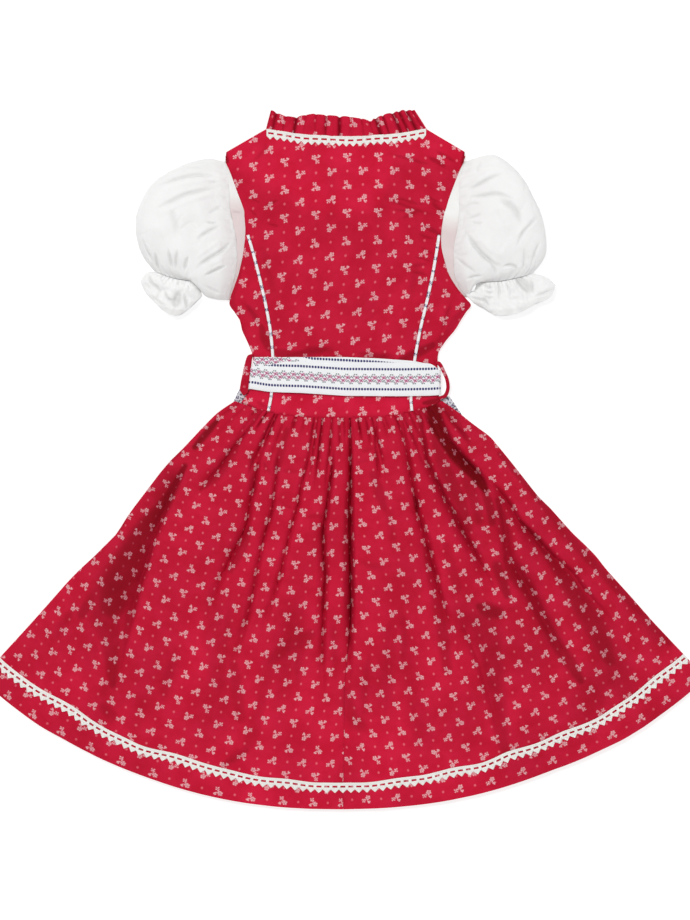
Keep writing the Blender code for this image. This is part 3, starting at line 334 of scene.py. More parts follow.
# The printed repeat
SPRIG_PERIOD = 31.3
SPRIG_ROW = 14.35


# Shapes of numbers
def lerp(a, b, share):
    return a + (b - a) * share


def smooth(low, high, value):
    share = np.clip((value - low) / (high - low), 0, 1)
    return share * share * (3 - 2 * share)


def read(rows, value, column=1):
    """A table's column at values of its first column."""
    data = np.array(rows)
    if data[0, 0] > data[-1, 0]:
        data = data[::-1]
    return np.interp(value, data[:, 0], data[:, column])


def rounded_table(rows, width, column=1, steps=800):
    """The same with its corners rounded over a width, as a function."""
    data = np.array(rows)
    low, high = sorted((data[0, 0], data[-1, 0]))
    at = np.linspace(low, high, steps + 1)
    value = read(rows, at, column)
    reach = max(1, int(width / (high - low) * steps))
    window = np.hanning(2 * reach + 3)[1:-1]
    before = 2 * value[0] - value[reach:0:-1]
    after = 2 * value[-1] - value[-2:-reach - 2:-1]
    soft = np.convolve(np.concatenate([before, value, after]), window / window.sum(), "valid")
    return lambda x: np.interp(x, at, soft)


def running(steps):
    """Sums of the steps so far, from 0."""
    return np.concatenate([[0], np.cumsum(steps)])


def along(points, share):
    """Points at shares of the length of a smooth curve through the points."""
    data = np.array(points, float)
    steps = np.linalg.norm(np.diff(data, axis=0), axis=1)
    lengths = running(steps)
    reach = np.clip(share, 0, 1) * lengths[-1]
    index = np.clip(np.searchsorted(lengths, reach, "right") - 1, 0, len(data) - 2)
    part = ((reach - lengths[index]) / steps[index])[..., None]
    ends = np.vstack([2 * data[0] - data[1], data, 2 * data[-1] - data[-2]])
    a, b, c, d = (ends[index + k] for k in range(4))
    return b + 0.5 * part * (c - a + part * (2 * a - 5 * b + 4 * c - d + part * (3 * (b - c) + d - a)))


def straight(points, share):
    """Points at shares of the length of straight lines through the points."""
    data = np.array(points)
    lengths = running(np.linalg.norm(np.diff(data, axis=0), axis=1))
    at = share * lengths[-1]
    return np.stack([np.interp(at, lengths, data[:, 0]), np.interp(at, lengths, data[:, 1])], -1)


RIPPLE_WAVES = 9
CREASE_TAPER = 0.36
FAR = 1e9


def ripples(x, y, size, seed):
    """Soft uneven waves, about 1 high."""
    draw = np.random.default_rng(seed)
    total = 0 * x
    for _ in range(RIPPLE_WAVES):
        angle = draw.uniform(0, math.pi)
        length = size * draw.uniform(0.7, 1.6)
        phase = draw.uniform(0, 2 * math.pi)
        total = total + np.sin(2 * math.pi * (x * math.cos(angle) + y * math.sin(angle)) / length + phase)
    return total * math.sqrt(2 / RIPPLE_WAVES)


def from_photo(line):
    """The frame's places of a line of the photograph; a third column stays as it is."""
    data = np.array(line, float)
    data[:, 0] -= PHOTO_X
    data[:, 1] = PHOTO_Y - data[:, 1]
    return data


def beside(x, y, start, end, squared):
    """Shares along a segment where places lie nearest, and their distances from it."""
    (ax, ay), (bx, by) = start[:2], end[:2]
    share = np.clip(((x - ax) * (bx - ax) + (y - ay) * (by - ay)) / squared, 0, 1)
    return share, np.hypot(x - ax - share * (bx - ax), y - ay - share * (by - ay))


def creases(x, y, rows):
    """Height of folds from rows of a height, a width and a line in the photograph."""
    total = np.zeros_like(x)
    for height, width, line in rows:
        points = along(from_photo(line), np.linspace(0, 1, 4 * len(line)))
        near = np.full_like(x, FAR)
        place = np.zeros_like(x)
        lengths = np.linalg.norm(np.diff(points, axis=0), axis=1)
        done = 0.0
        for start, end, length in zip(points, points[1:], lengths):
            share, gap = beside(x, y, start, end, length ** 2)
            closer = gap < near
            near = np.where(closer, gap, near)
            place = np.where(closer, (done + share * length) / lengths.sum(), place)
            done += length
        taper = smooth(0.0, CREASE_TAPER, place) * smooth(0.0, CREASE_TAPER, 1 - place)
        total += height * taper * np.exp(-((near / (width * (0.5 + 0.5 * taper))) ** 2))
    return total


def patches(x, y, rows):
    """Darkness of shades from rows of a darkness and a line in the photograph with half widths."""
    total = np.zeros_like(x)
    for dark, line in rows:
        points = along(from_photo(line), np.linspace(0, 1, 6 * len(line)))
        near = np.full_like(x, FAR)
        for start, end in zip(points, points[1:]):
            squared = (end[0] - start[0]) ** 2 + (end[1] - start[1]) ** 2
            share, gap = beside(x, y, start, end, squared)
            near = np.minimum(near, gap / (start[2] + share * (end[2] - start[2])))
        total = np.maximum(total, dark * np.exp(-(near ** 4)))
    return total


def crumple(x, y, size, seed):
    """Fine lines that lie in patches, at most 1 high."""
    lines = np.exp(-((ripples(x, y, size, seed) / 0.38) ** 2))
    return lines * np.clip(ripples(x, y, 2.6 * size, seed + 1), 0, 1)


# Meshes
SHARP_ANGLE = math.radians(58)


def mesh_of(name, points, quads, uvs, finish, painted_shade=None):
    mesh = bpy.data.meshes.new(name)
    mesh.vertices.add(len(points))
    mesh.vertices.foreach_set("co", (np.asarray(points, float) * MM).ravel())
    mesh.loops.add(quads.size)
    mesh.loops.foreach_set("vertex_index", quads.astype(np.int32).ravel())
    mesh.polygons.add(len(quads))
    mesh.polygons.foreach_set("loop_start", np.arange(0, quads.size, 4, dtype=np.int32))
    mesh.update(calc_edges=True)
    layer = mesh.uv_layers.new(name="cut")
    layer.uv.foreach_set("vector", np.asarray(uvs, np.float32).ravel())
    # Each point's share of painted shade, by which the materials darken their colour
    if painted_shade is not None:
        attribute = mesh.attributes.new("painted_shade", "FLOAT", "POINT")
        attribute.data.foreach_set("value", np.asarray(painted_shade, np.float32).ravel())
    mesh.materials.append(finish)
    mesh.shade_smooth()
    mesh.set_sharp_from_angle(angle=SHARP_ANGLE)
    made = bpy.data.objects.new(name, mesh)
    bpy.context.collection.objects.link(made)
    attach(made, "root")
    return made


def normals_of(grid):
    down = np.gradient(grid, axis=0)
    right = np.gradient(grid, axis=1)
    cross = np.cross(down, right)
    return cross / np.maximum(np.linalg.norm(cross, axis=2, keepdims=True), 1e-9)


def shell(name, top, uv, wall, finish, jumps=None, keep=None, by_normal=False, turned=False, painted_shade=None):
    """A closed thin sheet whose outer face is a grid of points. keep leaves cells out, for holes."""
    rows, columns = top.shape[:2]
    if by_normal:
        side = -1 if turned else 1
        under = top - side * normals_of(top) * wall
    else:
        under = top - np.array([0, 0, wall])
    count = rows * columns
    i, j = np.meshgrid(np.arange(rows - 1), np.arange(columns - 1), indexing="ij")
    a = i * columns + j
    cells = np.stack([a, a + 1, a + columns + 1, a + columns], 2)
    flat_uv = uv.reshape(-1, 2)
    cell_uv = flat_uv[cells]
    if jumps is not None:
        cell_uv = cell_uv.copy()
        cell_uv[..., 0] += jumps
    if keep is None:
        keep = np.ones((rows - 1, columns - 1), bool)
    up = cells[keep][:, [0, 3, 2, 1]]
    up_uv = cell_uv[keep][:, [0, 3, 2, 1]]
    low = cells[keep] + count
    low_uv = cell_uv[keep]
    padded = np.pad(keep, 1)
    rims = []
    for di, dj, first, second in ((-1, 0, 0, 1), (0, 1, 1, 2), (1, 0, 2, 3), (0, -1, 3, 0)):
        open_side = keep & ~padded[1 + di:rows + di, 1 + dj:columns + dj]
        p = cells[open_side][:, first]
        q = cells[open_side][:, second]
        rims.append(np.stack([p, q, q + count, p + count], 1))
    rim = np.concatenate(rims)
    quads = np.concatenate([up, low, rim])
    uvs = np.concatenate([up_uv, low_uv, flat_uv[rim % count]])
    if turned:
        quads = quads[:, ::-1]
        uvs = uvs[:, ::-1]
    points = np.concatenate([top.reshape(-1, 3), under.reshape(-1, 3)])
    if not keep.all():
        used = np.unique(quads)
        renumber = np.zeros(len(points), int)
        renumber[used] = np.arange(len(used))
        points = points[used]
        quads = renumber[quads]
    if painted_shade is not None:
        painted_shade = np.concatenate([painted_shade.ravel(), painted_shade.ravel()])
    return mesh_of(name, points, quads, uvs, finish, painted_shade)


def ring_shell(name, outer, inner, uv, finish, painted_shade=None):
    """A tube from loops of points: outer and inner are rows of closed loops."""
    rows, count = outer.shape[:2]
    i, k = np.meshgrid(np.arange(rows - 1), np.arange(count), indexing="ij")
    a = i * count + k
    b = i * count + (k + 1) % count
    quads = np.stack([a, b, b + count, a + count], 2).reshape(-1, 4)
    wrap = (k == count - 1).ravel()
    total = rows * count
    flat_uv = uv.reshape(-1, 2)
    girth = uv[:, -1, 0] - uv[:, 0, 0]
    step = girth / (count - 1)
    quad_uv = flat_uv[quads]
    row_index = i.ravel()
    quad_uv[wrap, 1, 0] = flat_uv[quads[wrap, 0], 0] + step[row_index[wrap]]
    quad_uv[wrap, 2, 0] = flat_uv[quads[wrap, 3], 0] + step[row_index[wrap] + 1]
    parts = [quads, (quads + total)[:, ::-1]]
    parts_uv = [quad_uv, quad_uv[:, ::-1]]
    k0 = np.arange(count)
    k1 = (k0 + 1) % count
    first = np.stack([k0, k0 + total, k1 + total, k1], 1)
    base = (rows - 1) * count
    last = np.stack([base + k1, base + k1 + total, base + k0 + total, base + k0], 1)
    for end in (first, last):
        parts.append(end)
        parts_uv.append(flat_uv[end % total])
    made = np.concatenate(parts)
    made_uv = np.concatenate(parts_uv)
    points = np.concatenate([outer.reshape(-1, 3), inner.reshape(-1, 3)])
    sample = made[:len(quads)]
    p = points[sample]
    cross = np.cross(p[:, 1] - p[:, 0], p[:, 3] - p[:, 0])
    centre = outer.mean(axis=(0, 1))
    if ((p.mean(axis=1) - centre) * cross).sum() < 0:
        made = made[:, ::-1]
        made_uv = made_uv[:, ::-1]
    if painted_shade is not None:
        painted_shade = np.concatenate([painted_shade.ravel(), 0 * painted_shade.ravel()])
    return mesh_of(name, points, made, made_uv, finish, painted_shade)


def dress(made, slot, *nodes):
    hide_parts(*nodes)


def distances(grid):
    """Distances of a grid's points from its first column, and of its rows from the first."""
    across = np.linalg.norm(np.diff(grid, axis=1), axis=2)
    down = np.linalg.norm(np.diff(grid, axis=0), axis=2).mean(axis=1)
    return np.pad(np.cumsum(across, axis=1), ((0, 0), (1, 0))), running(down)


# Materials
class Finish:
    def __init__(self, name):
        self.material = bpy.data.materials.new(name)
        self.material.use_nodes = True
        self.tree = self.material.node_tree
        self.shader = self.tree.nodes["Principled BSDF"]

    def node(self, kind, **settings):
        made = self.tree.nodes.new("ShaderNode" + kind)
        for key, value in settings.items():
            setattr(made, key, value)
        return made

    def feed(self, socket, value):
        if isinstance(value, bpy.types.NodeSocket):
            self.tree.links.new(value, socket)
        elif value is not None:
            socket.default_value = value

    def math(self, operation, a, b=None, c=None, clamp=False):
        made = self.node("Math", operation=operation, use_clamp=clamp)
        for socket, value in zip(made.inputs, (a, b, c)):
            self.feed(socket, value)
        return made.outputs[0]

    def times(self, a, b, clamp=False):
        return self.math("MULTIPLY", a, b, clamp=clamp)

    def plus(self, a, b):
        return self.math("ADD", a, b)

    def less(self, a, b):
        return self.math("SUBTRACT", a, b)

    def times_plus(self, a, b, c):
        return self.math("MULTIPLY_ADD", a, b, c)

    def vector(self, operation, a, b=None):
        made = self.node("VectorMath", operation=operation)
        self.feed(made.inputs[0], a)
        self.feed(made.inputs[1], b)
        return made.outputs[1 if operation in ("LENGTH", "DISTANCE", "DOT_PRODUCT") else 0]

    def step(self, value, low, high):
        """0 at low, 1 at high and a soft step between."""
        made = self.node("MapRange", interpolation_type="SMOOTHSTEP")
        self.feed(made.inputs[0], value)
        self.feed(made.inputs[1], low)
        self.feed(made.inputs[2], high)
        return made.outputs[0]

    def mix(self, share, a, b, blend="MIX"):
        made = self.node("Mix", data_type="RGBA", blend_type=blend)
        self.feed(made.inputs[0], share)
        self.feed(made.inputs[6], a)
        self.feed(made.inputs[7], b)
        return made.outputs[2]

    def flat(self):
        """Place in the flat cut, then its parts across and along."""
        cut = self.node("UVMap", uv_map="cut").outputs[0]
        made = self.node("SeparateXYZ")
        self.feed(made.inputs[0], cut)
        return cut, made.outputs[0], made.outputs[1]

    def hidden(self):
        """Share of painted shade stored on the mesh's points, from 0 to 1."""
        return self.node("Attribute", attribute_name="painted_shade").outputs["Fac"]

    def joined(self, x, y):
        made = self.node("CombineXYZ")
        for socket, value in zip(made.inputs, (x, y, 0.0)):
            self.feed(socket, value)
        return made.outputs[0]

    def noise(self, vector, scale, detail=2.0, rough=0.5):
        made = self.node("TexNoise")
        self.feed(made.inputs["Vector"], vector)
        self.feed(made.inputs["Scale"], scale)
        self.feed(made.inputs["Detail"], detail)
        self.feed(made.inputs["Roughness"], rough)
        return made.outputs[0]

    def weave(self, u, v, pitch):
        """Over and under threads of a plain weave."""
        a = self.math("SINE", self.times(u, math.pi / pitch))
        b = self.math("SINE", self.times(v, math.pi / pitch))
        return self.times(a, b)

    def cloth(self, height, cut, scale, depth):
        """A height with the cloth's soft unevenness."""
        return self.times_plus(self.noise(cut, scale, 3.0, 0.6), depth, height)

    def blobs(self, place, rows):
        """Distance outside the nearest of some discs: rows of x, y and radius."""
        nearest = None
        for x, y, radius in rows:
            gap = self.less(self.vector("DISTANCE", place, (x, y, 0.0)), radius)
            nearest = gap if nearest is None else self.math("MINIMUM", nearest, gap)
        return nearest

    def finish(self, colour, height, roughness, sheen, distance=0.0005):
        bump = self.node("Bump")
        self.feed(bump.inputs["Strength"], 1.0)
        self.feed(bump.inputs["Distance"], distance)
        self.feed(bump.inputs["Height"], height)
        settings = {
            "Base Color": colour, "Roughness": roughness, "Sheen Weight": sheen, "Sheen Roughness": 0.5,
            "Specular IOR Level": 0.12, "Normal": bump.outputs[0],
        }
        for key, value in settings.items():
            self.feed(self.shader.inputs[key], value)
        return self.material


# One sprig: x, y and radius of its parts, in millimetres
SPRIG_BODY = (
    (1.7, -0.1, 0.92), (3.4, -1.0, 0.82), (3.1, -2.9, 0.85), (1.2, -3.0, 0.85), (0.1, -1.4, 0.82),
    (1.7, -1.6, 0.8), (0.3, 0.2, 0.5),
)
SPRIG_TIPS = (
    (-3.6, -2.7, 0.75), (-2.4, -3.4, 0.7), (-2.5, -1.9, 0.75), (-1.2, -1.2, 0.45), (-0.5, 1.1, 0.55),
    (-2.4, 2.0, 0.6), (-0.1, 2.2, 0.65), (-1.3, 2.9, 0.65), (-2.6, 4.0, 0.6), (-0.3, 4.2, 0.65),
)


def red_print():
    f = Finish("red_print_cotton")
    cut, u, v = f.flat()
    row = f.math("FLOOR", f.math("DIVIDE", v, SPRIG_ROW))
    y = f.less(v, f.times(f.plus(row, 0.5), SPRIG_ROW))
    odd = f.math("MODULO", f.plus(row, 400.0), 2.0)
    shifted = f.times_plus(odd, SPRIG_PERIOD / 2, u)
    column = f.math("FLOOR", f.math("DIVIDE", shifted, SPRIG_PERIOD))
    x = f.less(shifted, f.times(f.plus(column, 0.5), SPRIG_PERIOD))
    turn = f.node("VectorRotate", rotation_type="Z_AXIS")
    f.feed(turn.inputs["Vector"], f.joined(x, y))
    f.feed(turn.inputs["Angle"], f.times(row, math.pi / 2))
    place = turn.outputs[0]
    wobble = f.noise(cut, 1.25, 2.0, 0.75)
    soft = f.times(f.less(wobble, 0.5), 2.8)
    body = f.plus(f.blobs(place, SPRIG_BODY), soft)
    tips = f.plus(f.blobs(place, SPRIG_TIPS), soft)
    eye = f.vector("DISTANCE", place, (1.7, -1.6, 0.0))
    side = f.less(SPRIG_PERIOD / 2, f.math("ABSOLUTE", x))
    dot = f.less(f.vector("LENGTH", f.joined(side, f.times(y, 0.85))), 1.1)
    dot = f.plus(dot, f.times(soft, 0.4))
    sprig_share = f.times(f.step(f.math("MINIMUM", body, tips), 0.55, -0.45), 0.95)
    dot_share = f.times(f.step(dot, 0.55, -0.5), 0.72)
    eye_share = f.times(f.step(eye, 2.4, 0.5), 0.7)
    mottle = f.noise(cut, 0.035, 4.0, 0.6)
    ground = f.mix(f.step(mottle, 0.3, 0.7), (0.58, 0.0052, 0.034, 1), (0.655, 0.0105, 0.050, 1))
    thread = f.noise(f.joined(f.times(u, 1.3), f.times(v, 1.0)), 1.0, 2.0, 0.7)
    tip_colour = f.mix(f.step(thread, 0.32, 0.6), (0.80, 0.19, 0.255, 1), (0.96, 0.66, 0.68, 1))
    body_colour = f.mix(f.step(thread, 0.4, 0.6), (0.58, 0.22, 0.24, 1), (0.85, 0.58, 0.57, 1))
    pale = f.mix(eye_share, tip_colour, body_colour)
    colour = f.mix(dot_share, ground, (0.85, 0.17, 0.22, 1))
    colour = f.mix(sprig_share, colour, pale)
    # Painted shade: the colour is darkened by the points' painted shade share, less on the sprigs
    on_ground = f.times_plus(sprig_share, -0.45, 1.0)
    dark = f.times(f.hidden(), on_ground, clamp=True)
    colour = f.mix(dark, colour, (0.29, 0.0, 0.09, 1), "MULTIPLY")
    height = f.times(f.weave(u, v, 0.42), 0.10)
    height = f.times_plus(sprig_share, 0.25, height)
    return f.finish(colour, f.cloth(height, cut, 0.16, 1.2), 0.75, 0.0)


def white_cotton(name="white_cotton", low=(0.90, 0.90, 0.895, 1), high=(0.94, 0.94, 0.935, 1), shade_start=None):
    f = Finish(name)
    cut, u, v = f.flat()
    mottle = f.noise(cut, 0.06, 3.0)
    colour = f.mix(mottle, low, high)
    # Near-white up to a place along the girth, then the painted pinkish-grey shade
    if shade_start is not None:
        colour = f.mix(f.step(u, shade_start - 10.0, shade_start + 14.0), (0.90, 0.90, 0.88, 1), colour)
    # Painted shade: the colour is darkened grey by the points' painted shade share
    colour = f.mix(f.hidden(), colour, (0.52, 0.515, 0.51, 1), "MULTIPLY")
    height = f.times(f.weave(u, v, 0.36), 0.10)
    return f.finish(colour, f.cloth(height, cut, 0.22, 0.9), 0.8, 0.05)


def ivory_lace():
    f = Finish("ivory_lace")
    cut, u, v = f.flat()
    twist = f.math("SINE", f.times_plus(u, 2.6, f.times(v, 2.6)))
    cross = f.math("SINE", f.times(v, 2 * math.pi / 1.15))
    fuzz = f.noise(cut, 1.4, 3.0, 0.7)
    height = f.times_plus(twist, 0.35, f.times(cross, 0.35))
    height = f.times_plus(fuzz, 0.8, height)
    # Painted shade: the low parts of the relief are darker
    low = f.step(height, 0.45, -0.6)
    colour = f.mix(f.times(low, 0.45), (0.98, 0.965, 0.925, 1), (0.74, 0.69, 0.63, 1))
    return f.finish(colour, height, 0.85, 0.05, 0.0004)


# Roses of the band: x, y and radius along one repeat
BAND_REPEAT = 18.0
BAND_HEIGHT = 34.0
BAND_DOT_ROWS = (7.0, 27.0)
BAND_ROSES = ((-6.75, 1.6, 1.35), (-2.25, -1.4, 1.35), (2.25, 1.6, 1.35), (6.75, -1.4, 1.35))
BAND_PETALS = tuple(
    (x + dx, y + dy, 0.7)
    for x, y, _ in BAND_ROSES for dx, dy in ((-1.7, 0.8), (1.5, 1.3), (-1.2, -1.6), (1.7, -1.0))
)
BAND_LEAVES = tuple(
    (x + dx, y + dy * (1 if y > 0 else -1), 0.72)
    for x, y, _ in BAND_ROSES
    for dx, dy in ((-2.1, -2.9), (-0.7, -3.9), (0.5, -2.9), (1.5, -4.4), (0.0, 2.9), (-2.0, 3.0))
)


def woven_band():
    """v runs across the band from its lower edge: a row of dots, roses, a row of dots."""
    f = Finish("woven_band")
    cut, u, v = f.flat()
    mottle = f.noise(cut, 0.08, 3.0)
    ground = f.mix(mottle, (0.84, 0.85, 0.88, 1), (0.92, 0.925, 0.93, 1))
    dot_x = f.math("PINGPONG", u, 1.45)
    lower, upper = (f.math("ABSOLUTE", f.less(v, row)) for row in BAND_DOT_ROWS)
    line_y = f.math("MINIMUM", lower, upper)
    dash = f.times(f.step(dot_x, 1.1, 0.75), f.step(line_y, 1.35, 1.0))
    thin = f.times(f.step(line_y, 0.7, 0.4), 0.3)
    navy = f.math("MAXIMUM", dash, thin)
    x = f.less(f.math("MODULO", f.plus(u, 900.0), BAND_REPEAT), BAND_REPEAT / 2)
    place = f.joined(x, f.less(v, 16.9))
    rose = f.step(f.blobs(place, BAND_ROSES + BAND_PETALS), 0.35, -0.3)
    heart = f.step(f.blobs(place, tuple((a, b, 0.35) for a, b, _ in BAND_ROSES)), 0.3, -0.2)
    leaf = f.step(f.blobs(place, BAND_LEAVES), 0.3, -0.25)
    fleck = f.noise(cut, 1.6, 2.0, 0.8)
    gap = f.step(fleck, 0.3, 0.45)
    colour = f.mix(navy, ground, (0.016, 0.016, 0.13, 1))
    colour = f.mix(f.times(leaf, 0.85), colour, (0.06, 0.08, 0.09, 1))
    colour = f.mix(f.times(rose, gap), colour, (0.50, 0.12, 0.26, 1))
    colour = f.mix(heart, colour, (0.20, 0.02, 0.08, 1))
    height = f.times(f.weave(u, v, 0.5), 0.12)
    height = f.times_plus(navy, 0.25, height)
    return f.finish(colour, f.cloth(height, cut, 0.2, 1.0), 0.6, 0.1)


def flecked_piping():
    """u runs along the piping."""
    f = Finish("white_piping")
    cut, u, v = f.flat()
    drift = f.times(f.noise(f.joined(f.times(u, 0.13), 3.0), 1.0, 1.0), 9.0)
    near = f.math("PINGPONG", f.plus(u, drift), 6.1)
    at_side = f.step(f.math("ABSOLUTE", f.math("COSINE", f.math("DIVIDE", v, 1.4))), 0.12, 0.45)
    ragged = f.step(f.noise(cut, 0.75, 2.0, 0.8), 0.42, 0.52)
    fleck = f.times(f.step(near, 2.1, 1.3), f.times(at_side, ragged))
    centre = f.times(f.step(near, 0.9, 0.4), f.step(f.noise(cut, 0.5, 1.0), 0.5, 0.6))
    fleck = f.math("MAXIMUM", fleck, centre)
    violet = f.times(f.step(f.noise(cut, 0.6, 2.0), 0.54, 0.68), 0.4)
    colour = f.mix(violet, (0.95, 0.94, 0.95, 1), (0.42, 0.38, 0.55, 1))
    colour = f.mix(fleck, colour, (0.05, 0.05, 0.17, 1))
    height = f.math("SINE", f.times_plus(u, 5.0, f.times(v, 4.0)))
    return f.finish(colour, f.times(height, 0.2), 0.75, 0.1)


def apron_print():
    f = Finish("grey_apron_cotton")
    cut, u, v = f.flat()
    cells = f.node("TexVoronoi", feature="F1")
    f.feed(cells.inputs["Vector"], cut)
    f.feed(cells.inputs["Scale"], 0.19)
    ring = f.math("PINGPONG", cells.outputs["Distance"], 0.24)
    marks = f.times(f.step(ring, 0.08, 0.13), f.step(f.noise(cut, 0.75, 2.0, 0.8), 0.42, 0.5))
    violet = f.step(f.noise(cut, 0.3, 1.0), 0.45, 0.6)
    ink = f.mix(violet, (0.015, 0.015, 0.05, 1), (0.12, 0.07, 0.18, 1))
    colour = f.mix(marks, (0.68, 0.69, 0.73, 1), ink)
    height = f.times(f.weave(u, v, 0.42), 0.1)
    return f.finish(colour, f.cloth(height, cut, 0.18, 1.0), 0.8, 0.1)


RED = red_print()
WHITE = white_cotton()
# White cotton of the armhole strips, with a painted pinkish-grey shade and painted red reflection
WHITE_WITH_PAINTED_SHADE = {
    word: white_cotton("white_cotton_painted_shade_" + word, (0.72, 0.61, 0.605, 1), (0.78, 0.675, 0.665, 1), shade_start)
    for word, shade_start in (("left", 40.0), ("right", 62.0))
}
LACE = ivory_lace()
BAND = woven_band()
PIPING = flecked_piping()
APRON_CLOTH = apron_print()


# Skirt
loft_of = rounded_table(SKIRT_LOFT, 0.05)
seam_of = rounded_table(CENTRE_SEAM, 0.04)
sag_of = rounded_table(HEM_SAG, 12.0)
left_wave = rounded_table(SIDE_WAVE_LEFT, 0.02)
right_wave = rounded_table(SIDE_WAVE_RIGHT, 0.02)


def waist_seam(t):
    return WAIST_X + WAIST_HALF * t, WAIST_Y - WAIST_DIP * (1 - np.abs(t) ** 3)


def waist_y(x):
    return waist_seam(np.clip((x - WAIST_X) / WAIST_HALF, -1, 1))[1]


def skirt_plan(t, v):
    x0, y0 = waist_seam(t)
    x1 = HEM_HALF * t
    y1 = HEM_SIDE_Y - HEM_DIP * (1 - np.abs(t) ** HEM_POWER) + HEM_TILT * t - sag_of(x1)
    reach = v / SIDE_BOW_AT
    bow = np.sign(t) * SIDE_BOW * t ** 4 * reach * np.exp(1 - reach)
    bow = bow + np.sign(t) * t ** 8 * np.where(np.asarray(t) < 0, left_wave(v), right_wave(v))
    return lerp(x0, x1, v) + bow, lerp(y0, y1, v)


def skirt_length(t):
    """Distance from the waist seam to the hem."""
    return np.hypot(*(np.array(skirt_plan(t, 1.0)) - np.array(skirt_plan(t, 0.0))))


def skirt_place(x, y):
    """The t and v of a point of the plan."""
    t = np.linspace(-1.05, 1.05, 2101)
    low, high = -0.05, 1.05
    for _ in range(30):
        v = (low + high) / 2
        across, down = skirt_plan(t, v)
        at = float(np.interp(x, across, t))
        if np.interp(at, t, down) > y:
            low = v
        else:
            high = v
    return at, v


FOLD_LINES = [np.array([skirt_place(x, y) for x, y in from_photo(row[4])]) for row in FOLDS]


def fold_fade(start, end, v):
    begun = 1.0 if start < 0.05 else smooth(start - 0.01, start + 0.07, v)
    if end > 0.97:
        return begun * (1 - 0.45 * smooth(0.7, 1.0, v))
    return begun * (1 - smooth(lerp(start, end, 0.62), end + 0.02, v))


def fold_parts(index, t, v):
    """Distance from a fold's line as a share of its width, and how far it has begun."""
    left, right = FOLDS[index][1:3]
    line = FOLD_LINES[index]
    half = lerp(WAIST_HALF, HEM_HALF, v)
    off = (t - np.interp(v, line[:, 1], line[:, 0])) * half
    width = np.where(off < 0, left, right) * (0.55 + 0.9 * np.minimum(v, 0.5))
    return np.abs(off) / width, fold_fade(line[0, 1], line[-1, 1], v)


def valley(index, t, v):
    off, fade = fold_parts(index, t, v)
    return FOLDS[index][0] * fade * (0.5 * np.exp(-off ** 2) + 0.5 * np.exp(-((off / 0.4) ** 1.35)))


def fold_shade(t, v):
    """Share of painted shade: darkness painted into the folds, gathers, creases and patches, and across the
    skirt.
    """
    shade = 0.45 * gathers(t, v)
    for index, row in enumerate(FOLDS):
        off, fade = fold_parts(index, t, v)
        band = 0.62 * np.exp(-((off / 0.85) ** 3.5)) + 0.38 * np.exp(-((off / 0.4) ** 2))
        shade = np.maximum(shade, row[3] * fade * band)
    x, y = skirt_plan(t, v)
    lines = np.clip(-creases(x, y, SKIRT_CREASES) / 1.6, 0, 1)
    shade = np.maximum(shade, patches(x, y, SHADES))
    # An even darkening and random tone, with a painted shade that grows towards the right side and is less
    # low in the middle
    tone_and_painted_shade = 0.19 + 0.06 * smooth(0.2, 0.8, t) + 0.05 * ripples(x, y, 70.0, 27) * smooth(0.1, 0.3, v)
    tone_and_painted_shade = tone_and_painted_shade - 0.11 * smooth(0.55, 0.85, v) * smooth(0.6, 0.2, np.abs(t))
    return np.clip(np.maximum(shade, 0.35 * lines) + tone_and_painted_shade * (1 - 0.7 * shade), 0, 1)


def gathers(t, v):
    """Share of the loft lost in short narrow folds that start at the waist seam."""
    draw = np.random.default_rng(12)
    half = lerp(WAIST_HALF, HEM_HALF, v)
    total = 0 * t * v
    for k in range(GATHER_LINES):
        place = -0.98 + 1.96 * (k + 0.5 + draw.uniform(-0.5, 0.5)) / GATHER_LINES
        depth = draw.uniform(0.15, 0.8)
        length = draw.uniform(0.03, 0.22)
        drift = draw.uniform(-0.16, 0.16)
        off = (t - place - drift * v) * half
        line = np.exp(-((np.abs(off) / (1.2 + 6 * v)) ** 1.3))
        total = total + depth * line * (1 - smooth(0.3 * length, length, v))
    return np.minimum(total, 0.85)


SKIRT_CREASES = (
    # height, width, line in the photograph
    (-1, 2.5, ((225, 760), (236, 753), (248, 746))),
    (-0.8, 1.8, ((279, 470), (290, 471.5), (302, 471))),
    (-0.7, 1.6, ((279, 502), (287, 506), (295, 510))),
    (1.3, 7, ((497, 606), (510, 600), (522, 596))),
    (-0.9, 4, ((492, 612), (508, 609), (524, 604))),
    (-1, 5, ((646, 628), (656, 638), (667, 647))),
    (-0.9, 2, ((262, 457), (268, 470), (277, 478))),
    (-0.8, 1.6, ((357, 452), (368, 450), (380, 446))),
    (-0.6, 1.4, ((352, 462), (360, 462), (371, 459))),
    (-0.9, 2.4, ((300, 520), (315, 516), (330, 518))),
    (0.8, 3, ((299, 526), (315, 522), (330, 524))),
    (-0.8, 3.5, ((356, 560), (372, 566), (392, 566))),
    (-0.9, 4, ((385, 500), (392, 530), (394, 560))),
    (-1, 4.5, ((400, 600), (404, 640), (402, 680))),
    (-0.9, 5, ((300, 620), (297, 660), (299, 700))),
    (-0.8, 5, ((180, 640), (168, 680), (160, 715))),
    (-0.8, 5, ((470, 620), (482, 660), (488, 700))),
    (-0.9, 4.5, ((80, 600), (64, 624), (50, 646))),
    (-0.7, 4, ((330, 600), (334, 640), (336, 690))),
    (-0.7, 4, ((372, 640), (366, 680), (362, 730))),
    (-0.8, 4.5, ((232, 590), (225, 640), (222, 690))),
    (-0.7, 5, ((560, 600), (585, 640), (607, 676))),
    (-0.7, 4, ((415, 705), (418, 735), (424, 760))),
    (-0.7, 4, ((120, 650), (108, 680), (100, 705))),
    (-0.7, 4, ((268, 640), (262, 690), (262, 740))),
)


